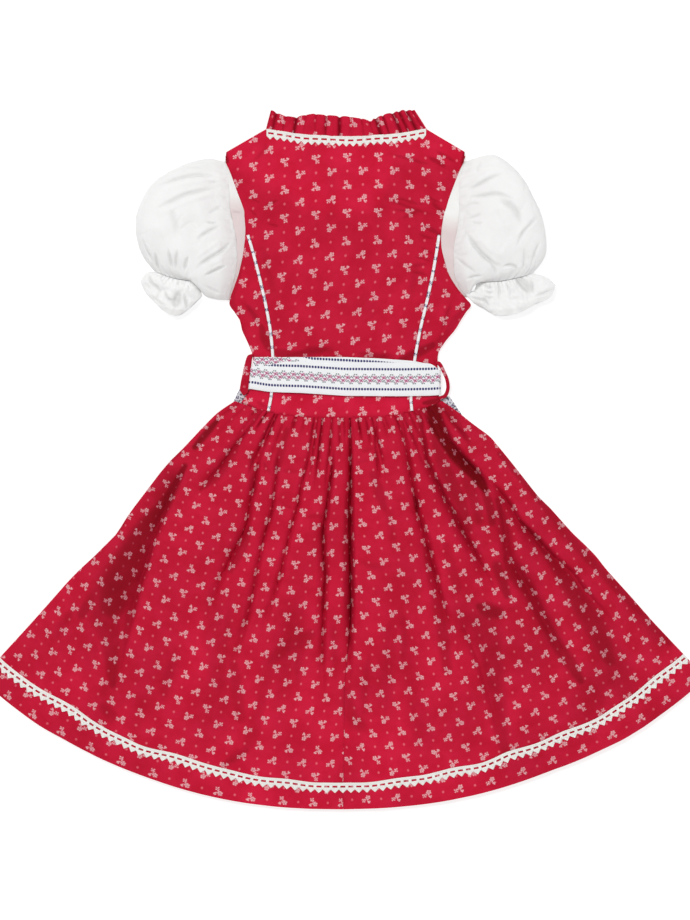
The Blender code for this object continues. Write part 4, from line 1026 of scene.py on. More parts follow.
def skirt_surface(t, v):
    """Height of the upper face of the skirt's back."""
    side = 1 - np.abs(t) ** 12
    loft = FULLNESS * loft_of(v) * (1 + 0.13 * np.sin(7.3 * t + 0.8) * np.sin(3.1 * v + 0.6))
    for index in range(len(FOLDS)):
        loft = loft * (1 - valley(index, t, v))
    loft = (loft + 0.6 * np.exp(-v / 0.08)) * (1 - gathers(t, v))
    finer = np.sin(math.pi * 71 * t + 2.3 * np.sin(9 * t) + 6 * v)
    loft = loft + 0.15 * finer * np.maximum(0.0, 1 - v / 0.07) ** 1.2
    longer = np.sin(math.pi * 19 * t + 2.0 * np.sin(4 * t + 1) + 3 * v)
    loft = loft + 0.25 * longer * np.maximum(0.0, 1 - v / 0.5) * smooth(0.02, 0.1, v)
    x, y = skirt_plan(t, v)
    folds = creases(x, y, SKIRT_CREASES)
    small = 0.28 * ripples(x, y, 26.0, 5) + 0.08 * ripples(x, y, 9.0, 8) - 0.45 * crumple(x, y, 30.0, 15)
    small *= smooth(0.05, 0.3, v)
    loft = np.maximum(loft + (folds + small) * (0.25 + 0.75 * side), 0.0)
    tuck = 1.1 * np.exp(-((v / 0.006) ** 2))
    return BACK_Z + WALL + side * np.maximum(loft - tuck, 0.0)


SKIRT_COLUMNS = 212
SKIRT_LINES = 180
PRINT_SCALE = ((0.0, 1.5), (0.04, 1.2), (0.12, 1.02), (0.4, 1.02), (0.65, 1.08), (0.85, 1.13), (1.0, 1.15))
# How much easier the print shifts across a fold than on open cloth, and how firmly it is held where it is
FOLD_EASE = 250
ANCHOR = 1e-7
SOLVER_ROUNDS = 700
# Where the photograph shows a sprig on each half of the skirt
SKIRT_SPRIG = {-1: (-309.3, -253.2), 1: (20.5, -221.1)}


def across_print(top, rise, t, v):
    """Places across the print: even along its rows, and running into the folds where cloth is hidden."""
    rows, columns = t.shape
    dv_down = np.gradient(rise, axis=0)
    dv_right = np.gradient(rise, axis=1)
    down = np.gradient(top[..., :2], axis=0)
    right = np.gradient(top[..., :2], axis=1)
    along_row = down * dv_right[..., None] - right * dv_down[..., None]
    along_row *= np.sign(along_row[..., :1])
    along_row /= np.linalg.norm(along_row, axis=2, keepdims=True)
    scale = read(PRINT_SCALE, v[:, 0])[:, None]
    side_step = np.linalg.norm(np.diff(top, axis=1), axis=2)
    down_step = np.diff(top[..., :2], axis=0)
    down_length = np.linalg.norm(down_step, axis=2)
    want_side = scale * side_step
    want_down = 0.5 * (scale[1:] + scale[:-1]) * (down_step * along_row[:-1]).sum(axis=2)
    hidden = gathers(t, v)
    for index in range(len(FOLDS)):
        hidden = np.maximum(hidden, np.minimum(valley(index, t, v) / 0.8, 1.0) ** 3)
    hidden = 0.5 * (hidden[:, 1:] + hidden[:, :-1])
    tall = np.pad(down_length, ((0, 1), (0, 0)), "edge")
    wide = np.pad(side_step, ((0, 0), (0, 1)), "edge")
    side_weight = tall[:, 1:] / side_step / (1 + FOLD_EASE * hidden ** 2)
    down_weight = wide[1:] / down_length

    def total(side_part, down_part):
        out = np.zeros((rows, columns))
        out[:, 1:] += side_part
        out[:, :-1] -= side_part
        out[1:] += down_part
        out[:-1] -= down_part
        return out

    def apply(u):
        return total(side_weight * np.diff(u, axis=1), down_weight * np.diff(u, axis=0)) + ANCHOR * u

    weight = np.full((rows, columns), ANCHOR)
    weight[:, 1:] += side_weight
    weight[:, :-1] += side_weight
    weight[1:] += down_weight
    weight[:-1] += down_weight
    # Conjugate gradients
    u = top[..., 0] * scale
    left = total(side_weight * want_side, down_weight * want_down) - apply(u)
    ready = left / weight
    step = ready.copy()
    power = (left * ready).sum()
    for _ in range(SOLVER_ROUNDS):
        moved = apply(step)
        size = power / (step * moved).sum()
        u += size * step
        left -= size * moved
        ready = left / weight
        next_power = (left * ready).sum()
        step = ready + next_power / power * step
        power = next_power
    return u


def skirt_half(side):
    s = np.linspace(0, 1, SKIRT_LINES)
    v = (s * (0.6 + 0.4 * s))[:, None]
    share = np.linspace(0, 1, SKIRT_COLUMNS)[None, :]
    even = share * (1 + 0.09 * (1 - share ** 2.5))
    centre = seam_of(v) + side * 0.1 / lerp(WAIST_HALF, HEM_HALF, v)
    t = lerp(centre, side * 1.0, even)
    if side < 0:
        t = t[:, ::-1]
    x, y = skirt_plan(t, v)
    top = np.stack([x, y, skirt_surface(t, v)], 2)
    rise = (1 - v) * skirt_length(t) * (1.09 + 0.10 * np.abs(t) ** 3)
    uv = np.stack([across_print(top, rise, t, v), rise], 2)
    sprig_x, sprig_y = SKIRT_SPRIG[side]
    near = np.hypot(x - sprig_x, y - sprig_y)
    i, j = np.unravel_index(np.argmin(near), near.shape)
    uv = uv + np.array([SPRIG_PERIOD / 2, SPRIG_ROW / 2]) - uv[i, j]
    return top, uv, fold_shade(t, v)


for side, word in SIDES:
    top, uv, shade = skirt_half(side)
    made = shell("cloth_skirt_back_" + word, top, uv, THIN_CLOTH, RED, painted_shade=shade)
    dress(made, "red_print_cotton", "skirt_back_" + word)


# Lace: place along one repeat, and the depth of its rows; a slot is left out of each repeat
LACE_PHASES = (0.0, 0.1, 0.19, 0.3, 0.4, 0.5, 0.6, 0.7, 0.81, 0.9)
LACE_DEPTHS = (0.0, 0.5, 1.2, 2.0, 2.6, 3.0, 4.9, 5.5, 6.4)
LACE_EDGE = 6.9
LACE_SLOT_ROW = 5
LACE_SLOT_START = 0.19
LACE_SLOT_END = 0.8


def lace_grid(repeats, point_depth, points=None):
    """Places along a strip of lace from 0 to 1, depths below its upper edge, and the cells that are cloth."""
    places = np.array([k + p for k in range(repeats) for p in LACE_PHASES] + [repeats])
    phase = places % 1.0
    point = 1 - np.abs(1 - 2 * (places * (points or repeats) / repeats % 1.0))
    edge = LACE_EDGE + point_depth * (0.65 * point + 0.35 * smooth(0, 1, point))
    rows = [np.full(len(places), d) for d in LACE_DEPTHS]
    for part in (0.5, 1.0):
        rows.append(lerp(LACE_DEPTHS[-1], edge, part))
    depth = np.array(rows)
    keep = np.ones((len(rows) - 1, len(places) - 1), bool)
    middle = (phase[:-1] + 0.05) % 1.0
    keep[LACE_SLOT_ROW, (middle > LACE_SLOT_START) & (middle < LACE_SLOT_END)] = False
    relief = 0.30 * np.exp(-((depth - 0.8) / 0.8) ** 2) + 0.22 * np.exp(-((depth - 5.6) / 0.7) ** 2)
    relief += 0.12 * np.sin(2 * math.pi * places * 4)[None, :] * smooth(5.0, 7.0, depth)
    relief -= 0.35 * smooth(0.93, 1.0, depth / edge[None, :])
    return places / repeats, depth, keep, relief


HEM_REPEATS = 95
HEM_LACE_INSIDE = 0.994


def hem_lace():
    place, depth, keep, relief = lace_grid(HEM_REPEATS, 3.4)
    t_fine = np.linspace(-1, 1, 4001)
    x, y = skirt_plan(t_fine, LACE_TOP)
    arc = running(np.hypot(np.diff(x), np.diff(y)))
    t = np.interp(place * arc[-1], arc, t_fine)
    sway = 0.6 * np.sin(place * 37) + 0.5 * np.sin(place * 83 + 1)
    sway = sway + rounded_table(LACE_SAG, 14.0)(HEM_HALF * t)
    v = LACE_TOP + (depth - 1.2 + sway[None, :]) / skirt_length(t)[None, :]
    tt = np.repeat(t[None, :], len(depth), 0)
    x, y = skirt_plan(tt, v)
    z = skirt_surface(tt, v) + 1.05 + relief
    uv = np.stack([np.repeat((place * arc[-1])[None, :], len(depth), 0), -depth], 2)
    made = shell("lace_hem_back", np.stack([x, y, z], 2), uv, FIRM_CLOTH, LACE, keep=keep)
    dress(made, "ivory_lace", "hem_lace_back")
    z = 0.0 * z + TRIM + 0.05 + 0.3 * relief
    x, y = skirt_plan(tt * HEM_LACE_INSIDE, v)
    under = shell("lace_hem_front", np.stack([x, y, z], 2), uv, FIRM_CLOTH, LACE, keep=keep)
    dress(under, "ivory_lace", "hem_lace_front")


hem_lace()


# Skirt's front, which lies underneath
def skirt_front():
    v = np.linspace(0, 1, 30)[:, None]
    t = np.linspace(-1, 1, 101)[None, :] * np.ones_like(v)
    x, y = skirt_plan(t, v)
    calm = (1 - np.abs(t) ** 6) * smooth(0, 0.1, v)
    z = FRONT_Z + WALL + 0.10 * ripples(x, y, 40.0, 21) * calm
    top = np.stack([x, y, z], 2)
    across, down = distances(top)
    across -= across.mean(axis=1, keepdims=True)
    uv = np.stack([across, np.repeat(-down[:, None], t.shape[1], 1)], 2)
    made = shell("cloth_skirt_front", top, uv, UNDER_CLOTH, RED)
    dress(made, "red_print_cotton", "skirt_front")


skirt_front()


# Bodice
def side_x(y, side):
    return read(BODICE_SIDES, y, COLUMN[side])


def princess_x(y, side):
    return read(PRINCESS, y, COLUMN[side])


def neck_y(x, dip=NECK_DIP, power=NECK_POWER):
    share = (x - (NECK_LEFT + NECK_RIGHT) / 2) / ((NECK_RIGHT - NECK_LEFT) / 2)
    return NECK_END_Y - dip * (1 - np.abs(np.clip(share, -1, 1)) ** power)


def back_height(x, y):
    """Lower face of the bodice's back."""
    left, right = side_x(y, -1), side_x(y, 1)
    place = np.clip((x - (left + right) / 2) / ((right - left) / 2), -1, 1)
    taper = (0.35 + 0.65 * smooth(335, 280, y)) * (1 - 0.3 * smooth(125, 100, y))
    rise = ARMHOLE_RISE * smooth(150, 175, y) * np.abs(place) ** 3
    return BACK_Z + 0.1 + rise + CROWN * taper * (1 - np.abs(place) ** CROWN_POWER)


def side_line(side, over_seam):
    """Points down a side of the bodice, to a height over the waist seam."""
    column = COLUMN[side]
    end_x = BODICE_SIDES[-1][column]
    upper = [(row[column], row[0]) for row in BODICE_SIDES[:-1]]
    return upper + [(end_x, float(waist_y(end_x)) + over_seam)]


def waist_line(start_x, end_x, over_seam):
    """The line over the waist seam between two places, as a function of the share."""
    def line(share):
        x = lerp(start_x, end_x, share)
        return np.stack([x, waist_y(x) + over_seam], -1)
    return line


def coons(first, last, start, end, w, t):
    """A surface between four curves, each given at shares of its length."""
    a, b, c, d = first(t), last(t), start(w), end(w)
    corners = [start(np.zeros(1)), start(np.ones(1)), end(np.zeros(1)), end(np.ones(1))]
    w, t = w[..., None], t[..., None]
    ruled = lerp(a, b, w) + lerp(c, d, t)
    return ruled - lerp(lerp(corners[0], corners[1], w), lerp(corners[2], corners[3], w), t)


SHOULDER_TIPS = {-1: (-116.8, 307.5), 1: (121.8, 307.8)}
HEM_OVER_SEAM = 0.5
BODICE_CREASES = (
    # height, width, line in the photograph
    (-0.9, 2, ((425, 155), (436, 162), (450, 170))),
    (0.7, 2.5, ((426, 160), (438, 167), (450, 176))),
    (-0.8, 2, ((430, 200), (438, 208), (447, 215))),
    (-0.8, 2, ((428, 225), (436, 232), (445, 240))),
    (-0.6, 1.2, ((266, 223), (273, 225), (281, 227))),
    (-1.3, 3.2, ((280, 351), (296, 354), (318, 351), (338, 347))),
    (-0.9, 3, ((350, 352), (375, 356), (400, 356))),
    (0.8, 6, ((280, 342), (310, 342), (340, 338))),
    (-0.8, 2.6, ((240, 300), (252, 312), (262, 330))),
    (-0.7, 2.4, ((452, 300), (446, 318), (440, 336))),
    (-0.7, 3, ((448, 330), (438, 342), (430, 352))),
    (-0.4, 4, ((262, 240), (268, 270), (276, 300))),
    (-0.35, 4, ((420, 250), (414, 280), (408, 310))),
    (-0.6, 2, ((268, 140), (263, 152), (250, 163))),
    (-0.25, 5, ((330, 150), (332, 200), (328, 240))),
    (-0.2, 5, ((385, 170), (380, 220), (384, 270))),
    (-0.7, 2.2, ((255, 400), (262, 405), (270, 408))),
    (-0.7, 1.4, ((385, 153), (402, 157), (420, 162), (437, 165))),
    (-0.6, 1.3, ((380, 196), (400, 204), (420, 211), (440, 216))),
    (-0.6, 1.2, ((396, 220), (408, 216), (424, 208))),
    (-0.7, 1.2, ((416, 233), (427, 237), (438, 239))),
    (-0.6, 1.2, ((407, 267), (419, 265), (432, 263))),
    (-0.9, 1.2, ((432, 148), (440, 153), (452, 160), (458, 166))),
    (-0.8, 1.1, ((427, 157), (436, 160), (447, 168))),
    (-0.7, 1.1, ((386, 201), (400, 199), (414, 203), (430, 205))),
    (-0.7, 1.1, ((392, 210), (405, 211), (420, 215))),
    (-0.8, 1.1, ((424, 194), (432, 199), (441, 203))),
    (-0.8, 1.1, ((421, 222), (428, 229), (437, 234))),
    (-0.7, 1.1, ((418, 246), (428, 251), (436, 256))),
    (-0.7, 1.1, ((413, 256), (424, 259), (434, 263))),
    (-0.7, 1.1, ((409, 272), (420, 273), (430, 276))),
    (-0.7, 1.2, ((263, 206), (270, 204), (280, 199))),
    (-0.6, 1.1, ((247, 208), (253, 212), (258, 218))),
    (-0.6, 1.1, ((248, 195), (254, 200), (262, 203))),
)


# Where the bodice's painted lighter top ends; below it the cloth has more painted shade
PAINTED_SHADE_EDGE = (
    (-120, 294), (-108, 289), (-43, 253), (-20, 246), (20, 244), (37, 252),
    (52, 296), (120, 300),
)


def bodice_surface(x, y):
    z = back_height(x, y) + WALL * SLOPE_ALLOWANCE
    left, right = side_x(y, -1), side_x(y, 1)
    edge = np.minimum(x - left, right - x)
    calm = smooth(0, 14, edge)
    z = z + creases(x, y, BODICE_CREASES) * (0.3 + 0.7 * calm)
    fine = 0.18 * ripples(x, y, 30.0, 3) + 0.05 * ripples(x, y, 11.0, 4) - 0.3 * crumple(x, y, 24.0, 17)
    z = z + fine * calm
    return z - 0.9 * np.exp(-(((y - waist_y(x) + HEM_OVER_SEAM) / 1.1) ** 2))


PRINT_SLOPE = ((50, 0.03), (85, 0.05), (110, 0.09), (175, 0.088), (230, 0.052), (300, 0.045))
PRINT_BEND = ((110, 0.0), (175, 0.0004), (230, 0.0006), (300, 0.00065))
PRINT_SHIFT = 1.2
# Where the photograph shows a sprig on the bodice
BODICE_SPRIG = (-29.3, 215.7)
# How far the print jumps at the seam of each side back
SEAM_JUMPS = {-1: 7.0, 1: 9.0}


def bodice_print(x, y):
    """Places in the print, whose rows rise to the right and bend near the shoulders."""
    slope = read(PRINT_SLOPE, y)
    bend = read(PRINT_BEND, y)
    lean = 0.0002 * np.maximum(290 - y, 0) ** 2 + 0.025 * np.maximum(215 - y, 0)
    closer = 0.028 * np.maximum(y - 233, 0)
    lower = 1.5 * smooth(130, 90, y)
    return x + lean - PRINT_SHIFT, y - slope * x + bend * x ** 2 + closer - lower


def bodice_back():
    sides = {side: side_line(side, -HEM_OVER_SEAM) for side, _ in SIDES}
    for side in sides:
        sides[side][0] = SHOULDER_TIPS[side]
    inner = np.linspace(NECK_LEFT, NECK_RIGHT, 41)[1:-1]
    shoulder = [sides[-1][0], (NECK_LEFT, NECK_END_Y)] + list(zip(inner, neck_y(inner)))
    shoulder += [(NECK_RIGHT, NECK_END_Y), sides[1][0]]
    bottom = waist_line(sides[-1][-1][0], sides[1][-1][0], -HEM_OVER_SEAM)
    w, t = np.meshgrid(np.linspace(0, 1, 170), np.linspace(0, 1, 190))
    plan = coons(lambda s: along(sides[-1], s), lambda s: along(sides[1], s),
                 lambda s: straight(shoulder, s), bottom, w, t)
    x, y = plan[..., 0], plan[..., 1]
    top = np.dstack([x, y, bodice_surface(x, y)])
    found = np.array(bodice_print(*BODICE_SPRIG)) + np.array([PRINT_SHIFT, 0.0])
    uv = np.stack(bodice_print(x, y), 2) + np.array([SPRIG_PERIOD, SPRIG_ROW]) / 2 - found
    mid_x = (x[:-1, :-1] + x[1:, 1:]) / 2
    mid_y = (y[:-1, :-1] + y[1:, 1:]) / 2
    jumps = np.zeros(mid_x.shape + (4,))
    below = mid_y < TIP_Y
    for side, jump in SEAM_JUMPS.items():
        beyond = side * (mid_x - princess_x(mid_y, side)) > 0
        jumps -= (beyond & below)[..., None] * side * jump
    # Painted shade in the creases, below the lighter top down to the tie, along the waist seam and the edges,
    # and in patches, with random tone
    lines = np.clip(-creases(x, y, BODICE_CREASES) / 0.9, 0, 1)
    tone_and_painted_shade = 0.02 + 0.18 * smooth(14, -10, y - read(PAINTED_SHADE_EDGE, x)) * smooth(58, 84, y)
    tone_and_painted_shade = tone_and_painted_shade + 0.025 * ripples(x, y, 60.0, 28)
    edge = np.minimum(x - side_x(y, -1), side_x(y, 1) - x)
    seam = 0.25 * np.exp(-np.abs(y - waist_y(x)) / 2.5) + 0.12 * np.exp(-np.maximum(edge, 0) / 1.5)
    shade = np.clip(np.maximum(0.4 * lines + tone_and_painted_shade + seam, patches(x, y, BODICE_SHADES)), 0, 1)
    made = shell("cloth_bodice_back", top, uv, FIRM_CLOTH, RED, jumps, painted_shade=shade)
    dress(made, "red_print_cotton", "bodice_back", "bodice_side_back_left", "bodice_side_back_right")


bodice_back()


def neck_point(share, dip, power):
    angle = math.pi * (share - 0.5)
    place = lerp(2 * share - 1, np.sin(angle), 0.4)
    x = (NECK_LEFT + NECK_RIGHT) / 2 + (NECK_RIGHT - NECK_LEFT) / 2 * place
    return x, neck_y(x, dip, power)


def bodice_front(side, word):
    outer = side_line(side, SEAM)
    centre = (NECK_LEFT + NECK_RIGHT) / 2 + side * SEAM / 2
    share = np.linspace(0, 0.5, 30) if side < 0 else np.linspace(1, 0.5, 30)
    nx, ny = neck_point(share, FRONT_NECK_DIP, FRONT_NECK_POWER)
    upper = [outer[0]] + list(zip(nx[:-1], ny[:-1])) + [(centre, float(ny[-1]))]
    middle = [(centre, float(ny[-1])), (centre, float(waist_y(centre)) + SEAM)]
    w, t = np.meshgrid(np.linspace(0, 1, 36), np.linspace(0, 1, 60))
    plan = coons(lambda s: straight(outer, s), lambda s: straight(middle, s),
                 lambda s: straight(upper, s), waist_line(outer[-1][0], centre, SEAM), w, t)
    x, y = plan[..., 0], plan[..., 1]
    top = np.dstack([x, y, np.full_like(x, FRONT_Z + WALL - 0.05)])
    uv = np.stack([x, y], 2)
    made = shell("cloth_bodice_front_" + word, top, uv, FRONT_CLOTH, RED, turned=side > 0)
    dress(made, "red_print_cotton", "bodice_front_" + word)


for side, word in SIDES:
    bodice_front(side, word)


# Neck ruffle and lace
RUFFLE_FOLDS = (
    # place across, depth, width, cloth hidden in it
    (-74.5, 0.5, 1.4, 1.5), (-69, 0.85, 1.9, 3), (-59, 0.35, 1.2, 0.6), (-48, 1, 2, 5.5),
    (-38.5, 0.3, 1, 0.5), (-28, 0.35, 1.2, 0.5), (-17.3, 0.75, 1.5, 1.8), (-3.5, 1, 2, 1.5),
    (8, 0.3, 1.2, 0.4), (20, 0.35, 1.1, 0.4), (29, 0.3, 1, 0.3), (35.8, 1, 2.2, 1),
    (43.7, 0.75, 1.3, 1.5), (54.8, 1, 2, 8), (61.7, 0.85, 1.6, 5), (69.6, 0.95, 2, 6.5),
    (76, 0.5, 1.3, 2),
)


RUFFLE_FLAT = 19
FRONT_RUFFLE_LENGTH = 260
FRONT_RUFFLE_HEIGHT = 13.0
BACK_LACE_RISE = 0.6
FRONT_LACE_GAP = 0.6


def back_ruffle():
    share = np.linspace(0, 1, 430)[None, :]
    height = np.linspace(0, 1, 24)[:, None]
    x = lerp(NECK_LEFT, NECK_RIGHT, share) * np.ones_like(height)
    base = neck_y(x) + SEAM
    lean = 5.0 * (1 - share) - 12.0 * share + 3.0 * np.sin(math.pi * share) ** 2
    across = lerp(NECK_LEFT, NECK_RIGHT, share) + 0.4 * lean
    sunk = 0 * across
    hidden = 0 * across
    for place, depth, width, lost in RUFFLE_FOLDS:
        sunk = np.maximum(sunk, depth * np.exp(-np.abs((across - place) / width) ** 1.5))
        hidden = hidden + lost * np.tanh((across - place) / width)
    finer = np.sin(2 * math.pi * 31 * share + 2.6 * np.sin(11 * share)) * (0.5 + 0.5 * np.sin(17 * share + 1))
    swing = RUFFLE_SWING * (0.6 + 0.8 * height)
    low = back_height(x, base) + 0.6 * RUFFLE_SWING * smooth(0, 0.6, height)
    z = low + TRIM + swing * (1 - 1.55 * sunk) + 0.32 * finer * (1 - 0.75 * height)
    z += 0.35 * ripples(x, base + RUFFLE_FLAT * height, 13.0, 41)
    tall = height * rounded_table(RUFFLE_HEIGHT, 0.012)(share)
    notch = height * (0.5 - 1.1 * sunk)
    top = np.stack([x + lean * height, base + tall + notch, z], 2)[::-1]
    u = across + hidden
    u = u - np.interp(-62.0, across[0], u[0]) + SPRIG_PERIOD / 2
    uv = np.stack([u * np.ones_like(height), (height * RUFFLE_FLAT - 6.0) * np.ones_like(share)], 2)[::-1]
    shade = (0.85 * sunk ** 1.5) * (1 - 0.3 * height)
    shade = np.clip(shade[::-1] + 0.12, 0, 1)
    made = shell("cloth_neck_ruffle_back", top, uv, THIN_CLOTH, RED, painted_shade=shade)
    dress(made, "red_print_cotton", "neck_ruffle_back")


def neck_frame(share):
    x, y = neck_point(share, FRONT_NECK_DIP, FRONT_NECK_POWER)
    ax, ay = neck_point(np.clip(share - 0.001, 0, 1), FRONT_NECK_DIP, FRONT_NECK_POWER)
    bx, by = neck_point(np.clip(share + 0.001, 0, 1), FRONT_NECK_DIP, FRONT_NECK_POWER)
    size = np.hypot(bx - ax, by - ay)
    return x, y, -(by - ay) / size, (bx - ax) / size


def front_ruffle():
    share = np.linspace(0, 1, 260)[None, :]
    height = np.linspace(0, 1, 10)[:, None]
    x, y, nx, ny = neck_frame(share * np.ones_like(height))
    reach = SEAM + height * FRONT_RUFFLE_HEIGHT
    wave = np.sin(2 * math.pi * 12 * share)
    z = 0.65 + TRIM + 0.5 * height * wave
    top = np.stack([x + nx * reach, y + ny * reach, z * np.ones_like(x)], 2)[::-1]
    flat = np.broadcast_arrays(share * FRONT_RUFFLE_LENGTH, height * FRONT_RUFFLE_HEIGHT)
    made = shell("cloth_neck_ruffle_front", top, np.stack(flat, 2)[::-1], THIN_CLOTH, RED)
    dress(made, "red_print_cotton", "neck_ruffle_front")


def neck_lace():
    place, depth, keep, relief = lace_grid(18, 3.2, 23)
    x = lerp(NECK_LEFT + 0.5, NECK_RIGHT - 0.5, place)
    sway = 0.35 * np.sin(place * 21)
    xx = np.repeat(x[None, :], len(depth), 0)
    yy = neck_y(x)[None, :] - depth - SEAM + BACK_LACE_RISE + sway[None, :]
    z = bodice_surface(xx, np.minimum(yy, neck_y(xx))) + 1.0 + relief
    uv = np.stack([xx, -depth], 2)
    made = shell("lace_neck_back", np.stack([xx, yy, z], 2), uv, FIRM_CLOTH, LACE, keep=keep)
    dress(made, "ivory_lace", "neck_lace_back")
    place, depth, keep, relief = lace_grid(24, 3.2)
    share = np.repeat(lerp(0.03, 0.97, place)[None, :], len(depth), 0)
    x, y, nx, ny = neck_frame(share)
    reach = FRONT_LACE_GAP + depth * 0.93
    z = TRIM + 0.1 + 0.2 * relief
    uv = np.stack([share * 240, -depth], 2)
    under = np.stack([x - nx * reach, y - ny * reach, z], 2)
    made = shell("lace_neck_front", under, uv, FIRM_CLOTH, LACE, keep=keep)
    dress(made, "ivory_lace", "neck_lace_front")


back_ruffle()
front_ruffle()
neck_lace()


# Piping in the princess seams
def piping(side, word):
    last = float(waist_y(princess_x(PRINCESS[-1][0], side))) + 1.0
    y = np.linspace(TIP_Y, last, 160)
    x = rounded_table(PRINCESS, 14.0, COLUMN[side])(y)
    step = np.gradient(np.stack([x, y], 1), axis=0)
    step /= np.linalg.norm(step, axis=1, keepdims=True)
    across = np.stack([-step[:, 1], step[:, 0]], 1)
    angles = np.linspace(0, 2 * math.pi, PIPING_SIDES + 1)[:-1]
    half = PIPING_WIDTH / 2
    base = bodice_surface(x, y) + 0.75
    base = np.minimum(base, back_height(x, y) + WALL * SLOPE_ALLOWANCE + SEAM + 0.9)
    loops = []
    for radius, tall in ((half, 0.75), (half - 0.5, 0.35)):
        off = np.cos(angles)[None, :] * radius
        px = x[:, None] + across[:, :1] * off
        py = y[:, None] + across[:, 1:] * off
        pz = base[:, None] + np.sin(angles)[None, :] * tall
        loops.append(np.stack([px, py, pz], 2))
    run = running(np.hypot(np.diff(x), np.diff(y)))[:, None] + (3.0 if side < 0 else 8.0)
    around = (angles * 1.4)[None, :]
    uv = np.stack([np.repeat(run, PIPING_SIDES, 1), np.repeat(around, len(y), 0)], 2)
    made = ring_shell("trim_piping_" + word, loops[0], loops[1], uv, PIPING)
    dress(made, "white_piping", "piping_" + word)


for side, word in SIDES:
    piping(side, word)


# Tie across the back
def tie_base(x):
    return back_height(x, TIE_Y) + WALL * SLOPE_ALLOWANCE + PIPING_HEIGHT + 2 * SEAM


# Where the upper row of dots runs on the inner layer
TIE_LINE = ((-88, 108.6), (-60, 108.6), (-50, 106.0), (-31, 100.9), (34, 97.6), (60, 95.0), (90, 93.0))
TIE_INNER_LEFT_END = -91.6
TIE_CREASES = (
    (-0.9, 1.2, ((247, 383), (252, 383.5), (259, 383))),
    (-1.1, 1.2, ((247, 373), (258, 366.5), (273, 360))),
    (-0.5, 1.5, ((441, 371), (434, 369), (424, 369))),
    (-0.5, 2, ((400, 391), (402, 385), (404, 378))),
    (0.4, 3, ((310, 362), (345, 363), (390, 364))),
)


def tie_inner():
    part = np.linspace(1, 0, 24)[:, None]
    x = np.linspace(TIE_INNER_LEFT_END, TIE_INNER[-1][0], 200)[None, :]
    x = x + 2.4 * part * smooth(-80.0, TIE_INNER_LEFT_END, x)
    top_edge = rounded_table(TIE_INNER, 12.0, 1)(x)
    low_edge = rounded_table(TIE_INNER, 12.0, 2)(x)
    y = lerp(low_edge, top_edge, part)
    z = tie_base(x) + TRIM + 0.1 * ripples(x, y, 22.0, 31)
    uv = np.stack([x + 2.0, y - read(TIE_LINE, x) + BAND_DOT_ROWS[1]], 2)
    made = shell("cloth_tie_inner", np.stack([x, y, z], 2), uv, FIRM_CLOTH, BAND)
    dress(made, "woven_band", "tie_inner")


def tie_outer():
    ends = []
    for end, turn in ((TIE_LEFT_END, 1), (TIE_RIGHT_END, -1)):
        start_x = TIE_OUTER[0][0] if turn > 0 else TIE_OUTER[-1][0]
        high = float(tie_base(np.array(start_x))) + TRIM + SEAM
        half = (high - TRIM) / 2
        bend = []
        for k in range(17):
            angle = math.pi * k / 16
            inward = turn * TIE_REACH * (1 - math.sin(angle))
            bend.append((end + inward, TRIM + half + half * math.cos(angle)))
        limit = WAISTBAND_LEFT - SEAM - TIE_LEFT_SKEW if turn > 0 else WAISTBAND_RIGHT + SEAM
        bend.append((limit, TRIM))
        ends.append(bend)
    spine = ends[0][::-1]
    for x in np.linspace(TIE_OUTER[0][0], TIE_OUTER[-1][0], 200)[1:-1]:
        spine.append((x, float(tie_base(np.array(x))) + TRIM + SEAM))
    spine = np.array(spine + ends[1])
    tangent = np.gradient(spine, axis=0)
    tangent /= np.linalg.norm(tangent, axis=1, keepdims=True)
    outward = np.stack([-tangent[:, 1], tangent[:, 0]], 1)
    outer = spine + outward * TRIM
    part = np.linspace(1, 0, 26)[:, None]
    place = np.clip(outer[:, 0], TIE_OUTER[0][0], TIE_OUTER[-1][0])
    high = rounded_table(TIE_OUTER, 9.0, 1)(place)
    low = rounded_table(TIE_OUTER, 9.0, 2)(place)
    low = low + TIE_TURNED_STEP * (spine[:, 1] < TIE_TURNED_Z)
    skew = TIE_LEFT_SKEW * smooth(TIE_OUTER[1][0], TIE_OUTER[0][0], outer[:, 0])
    arc = running(np.linalg.norm(np.diff(spine, axis=0), axis=1))
    x = outer[:, 0][None, :] + skew[None, :] * part
    y = lerp(low[None, :], high[None, :], part)
    on_top = smooth(6.0, 8.5, outer[:, 1])[None, :]
    edge = np.minimum(part, 1 - part)
    puff = -0.75 * np.exp(-edge / 0.04) + 0.18 * ripples(x, y, 26.0, 35)
    pinch = creases(x, y, TIE_CREASES)
    z = outer[:, 1][None, :] + (puff + pinch) * on_top
    from_low = y - low[None, :] + 0.2
    uv = np.stack([np.repeat(arc[None, :], len(part), 0) + 1.0, from_low], 2)
    made = shell("cloth_tie_outer", np.stack([x, y, z], 2), uv, FIRM_CLOTH, BAND, by_normal=True)
    dress(made, "woven_band", "tie_outer")


tie_inner()
tie_outer()


# Inner edges of the belt loops
LOOP_INNER_LEFT = (
    (-89.6, 104.9), (-90.9, 100.5), (-91.6, 95.0), (-92.3, 88.0), (-93.1, 80.0), (-93.8, 73.0),
    (-95.0, 66.5),
)
LOOP_INNER_RIGHT = (
    (92.0, 95.6), (95.6, 93.6), (99.4, 86.6), (102.3, 79.6), (103.2, 71.6), (100.8, 65.2),
    (95.4, 62.8),
)


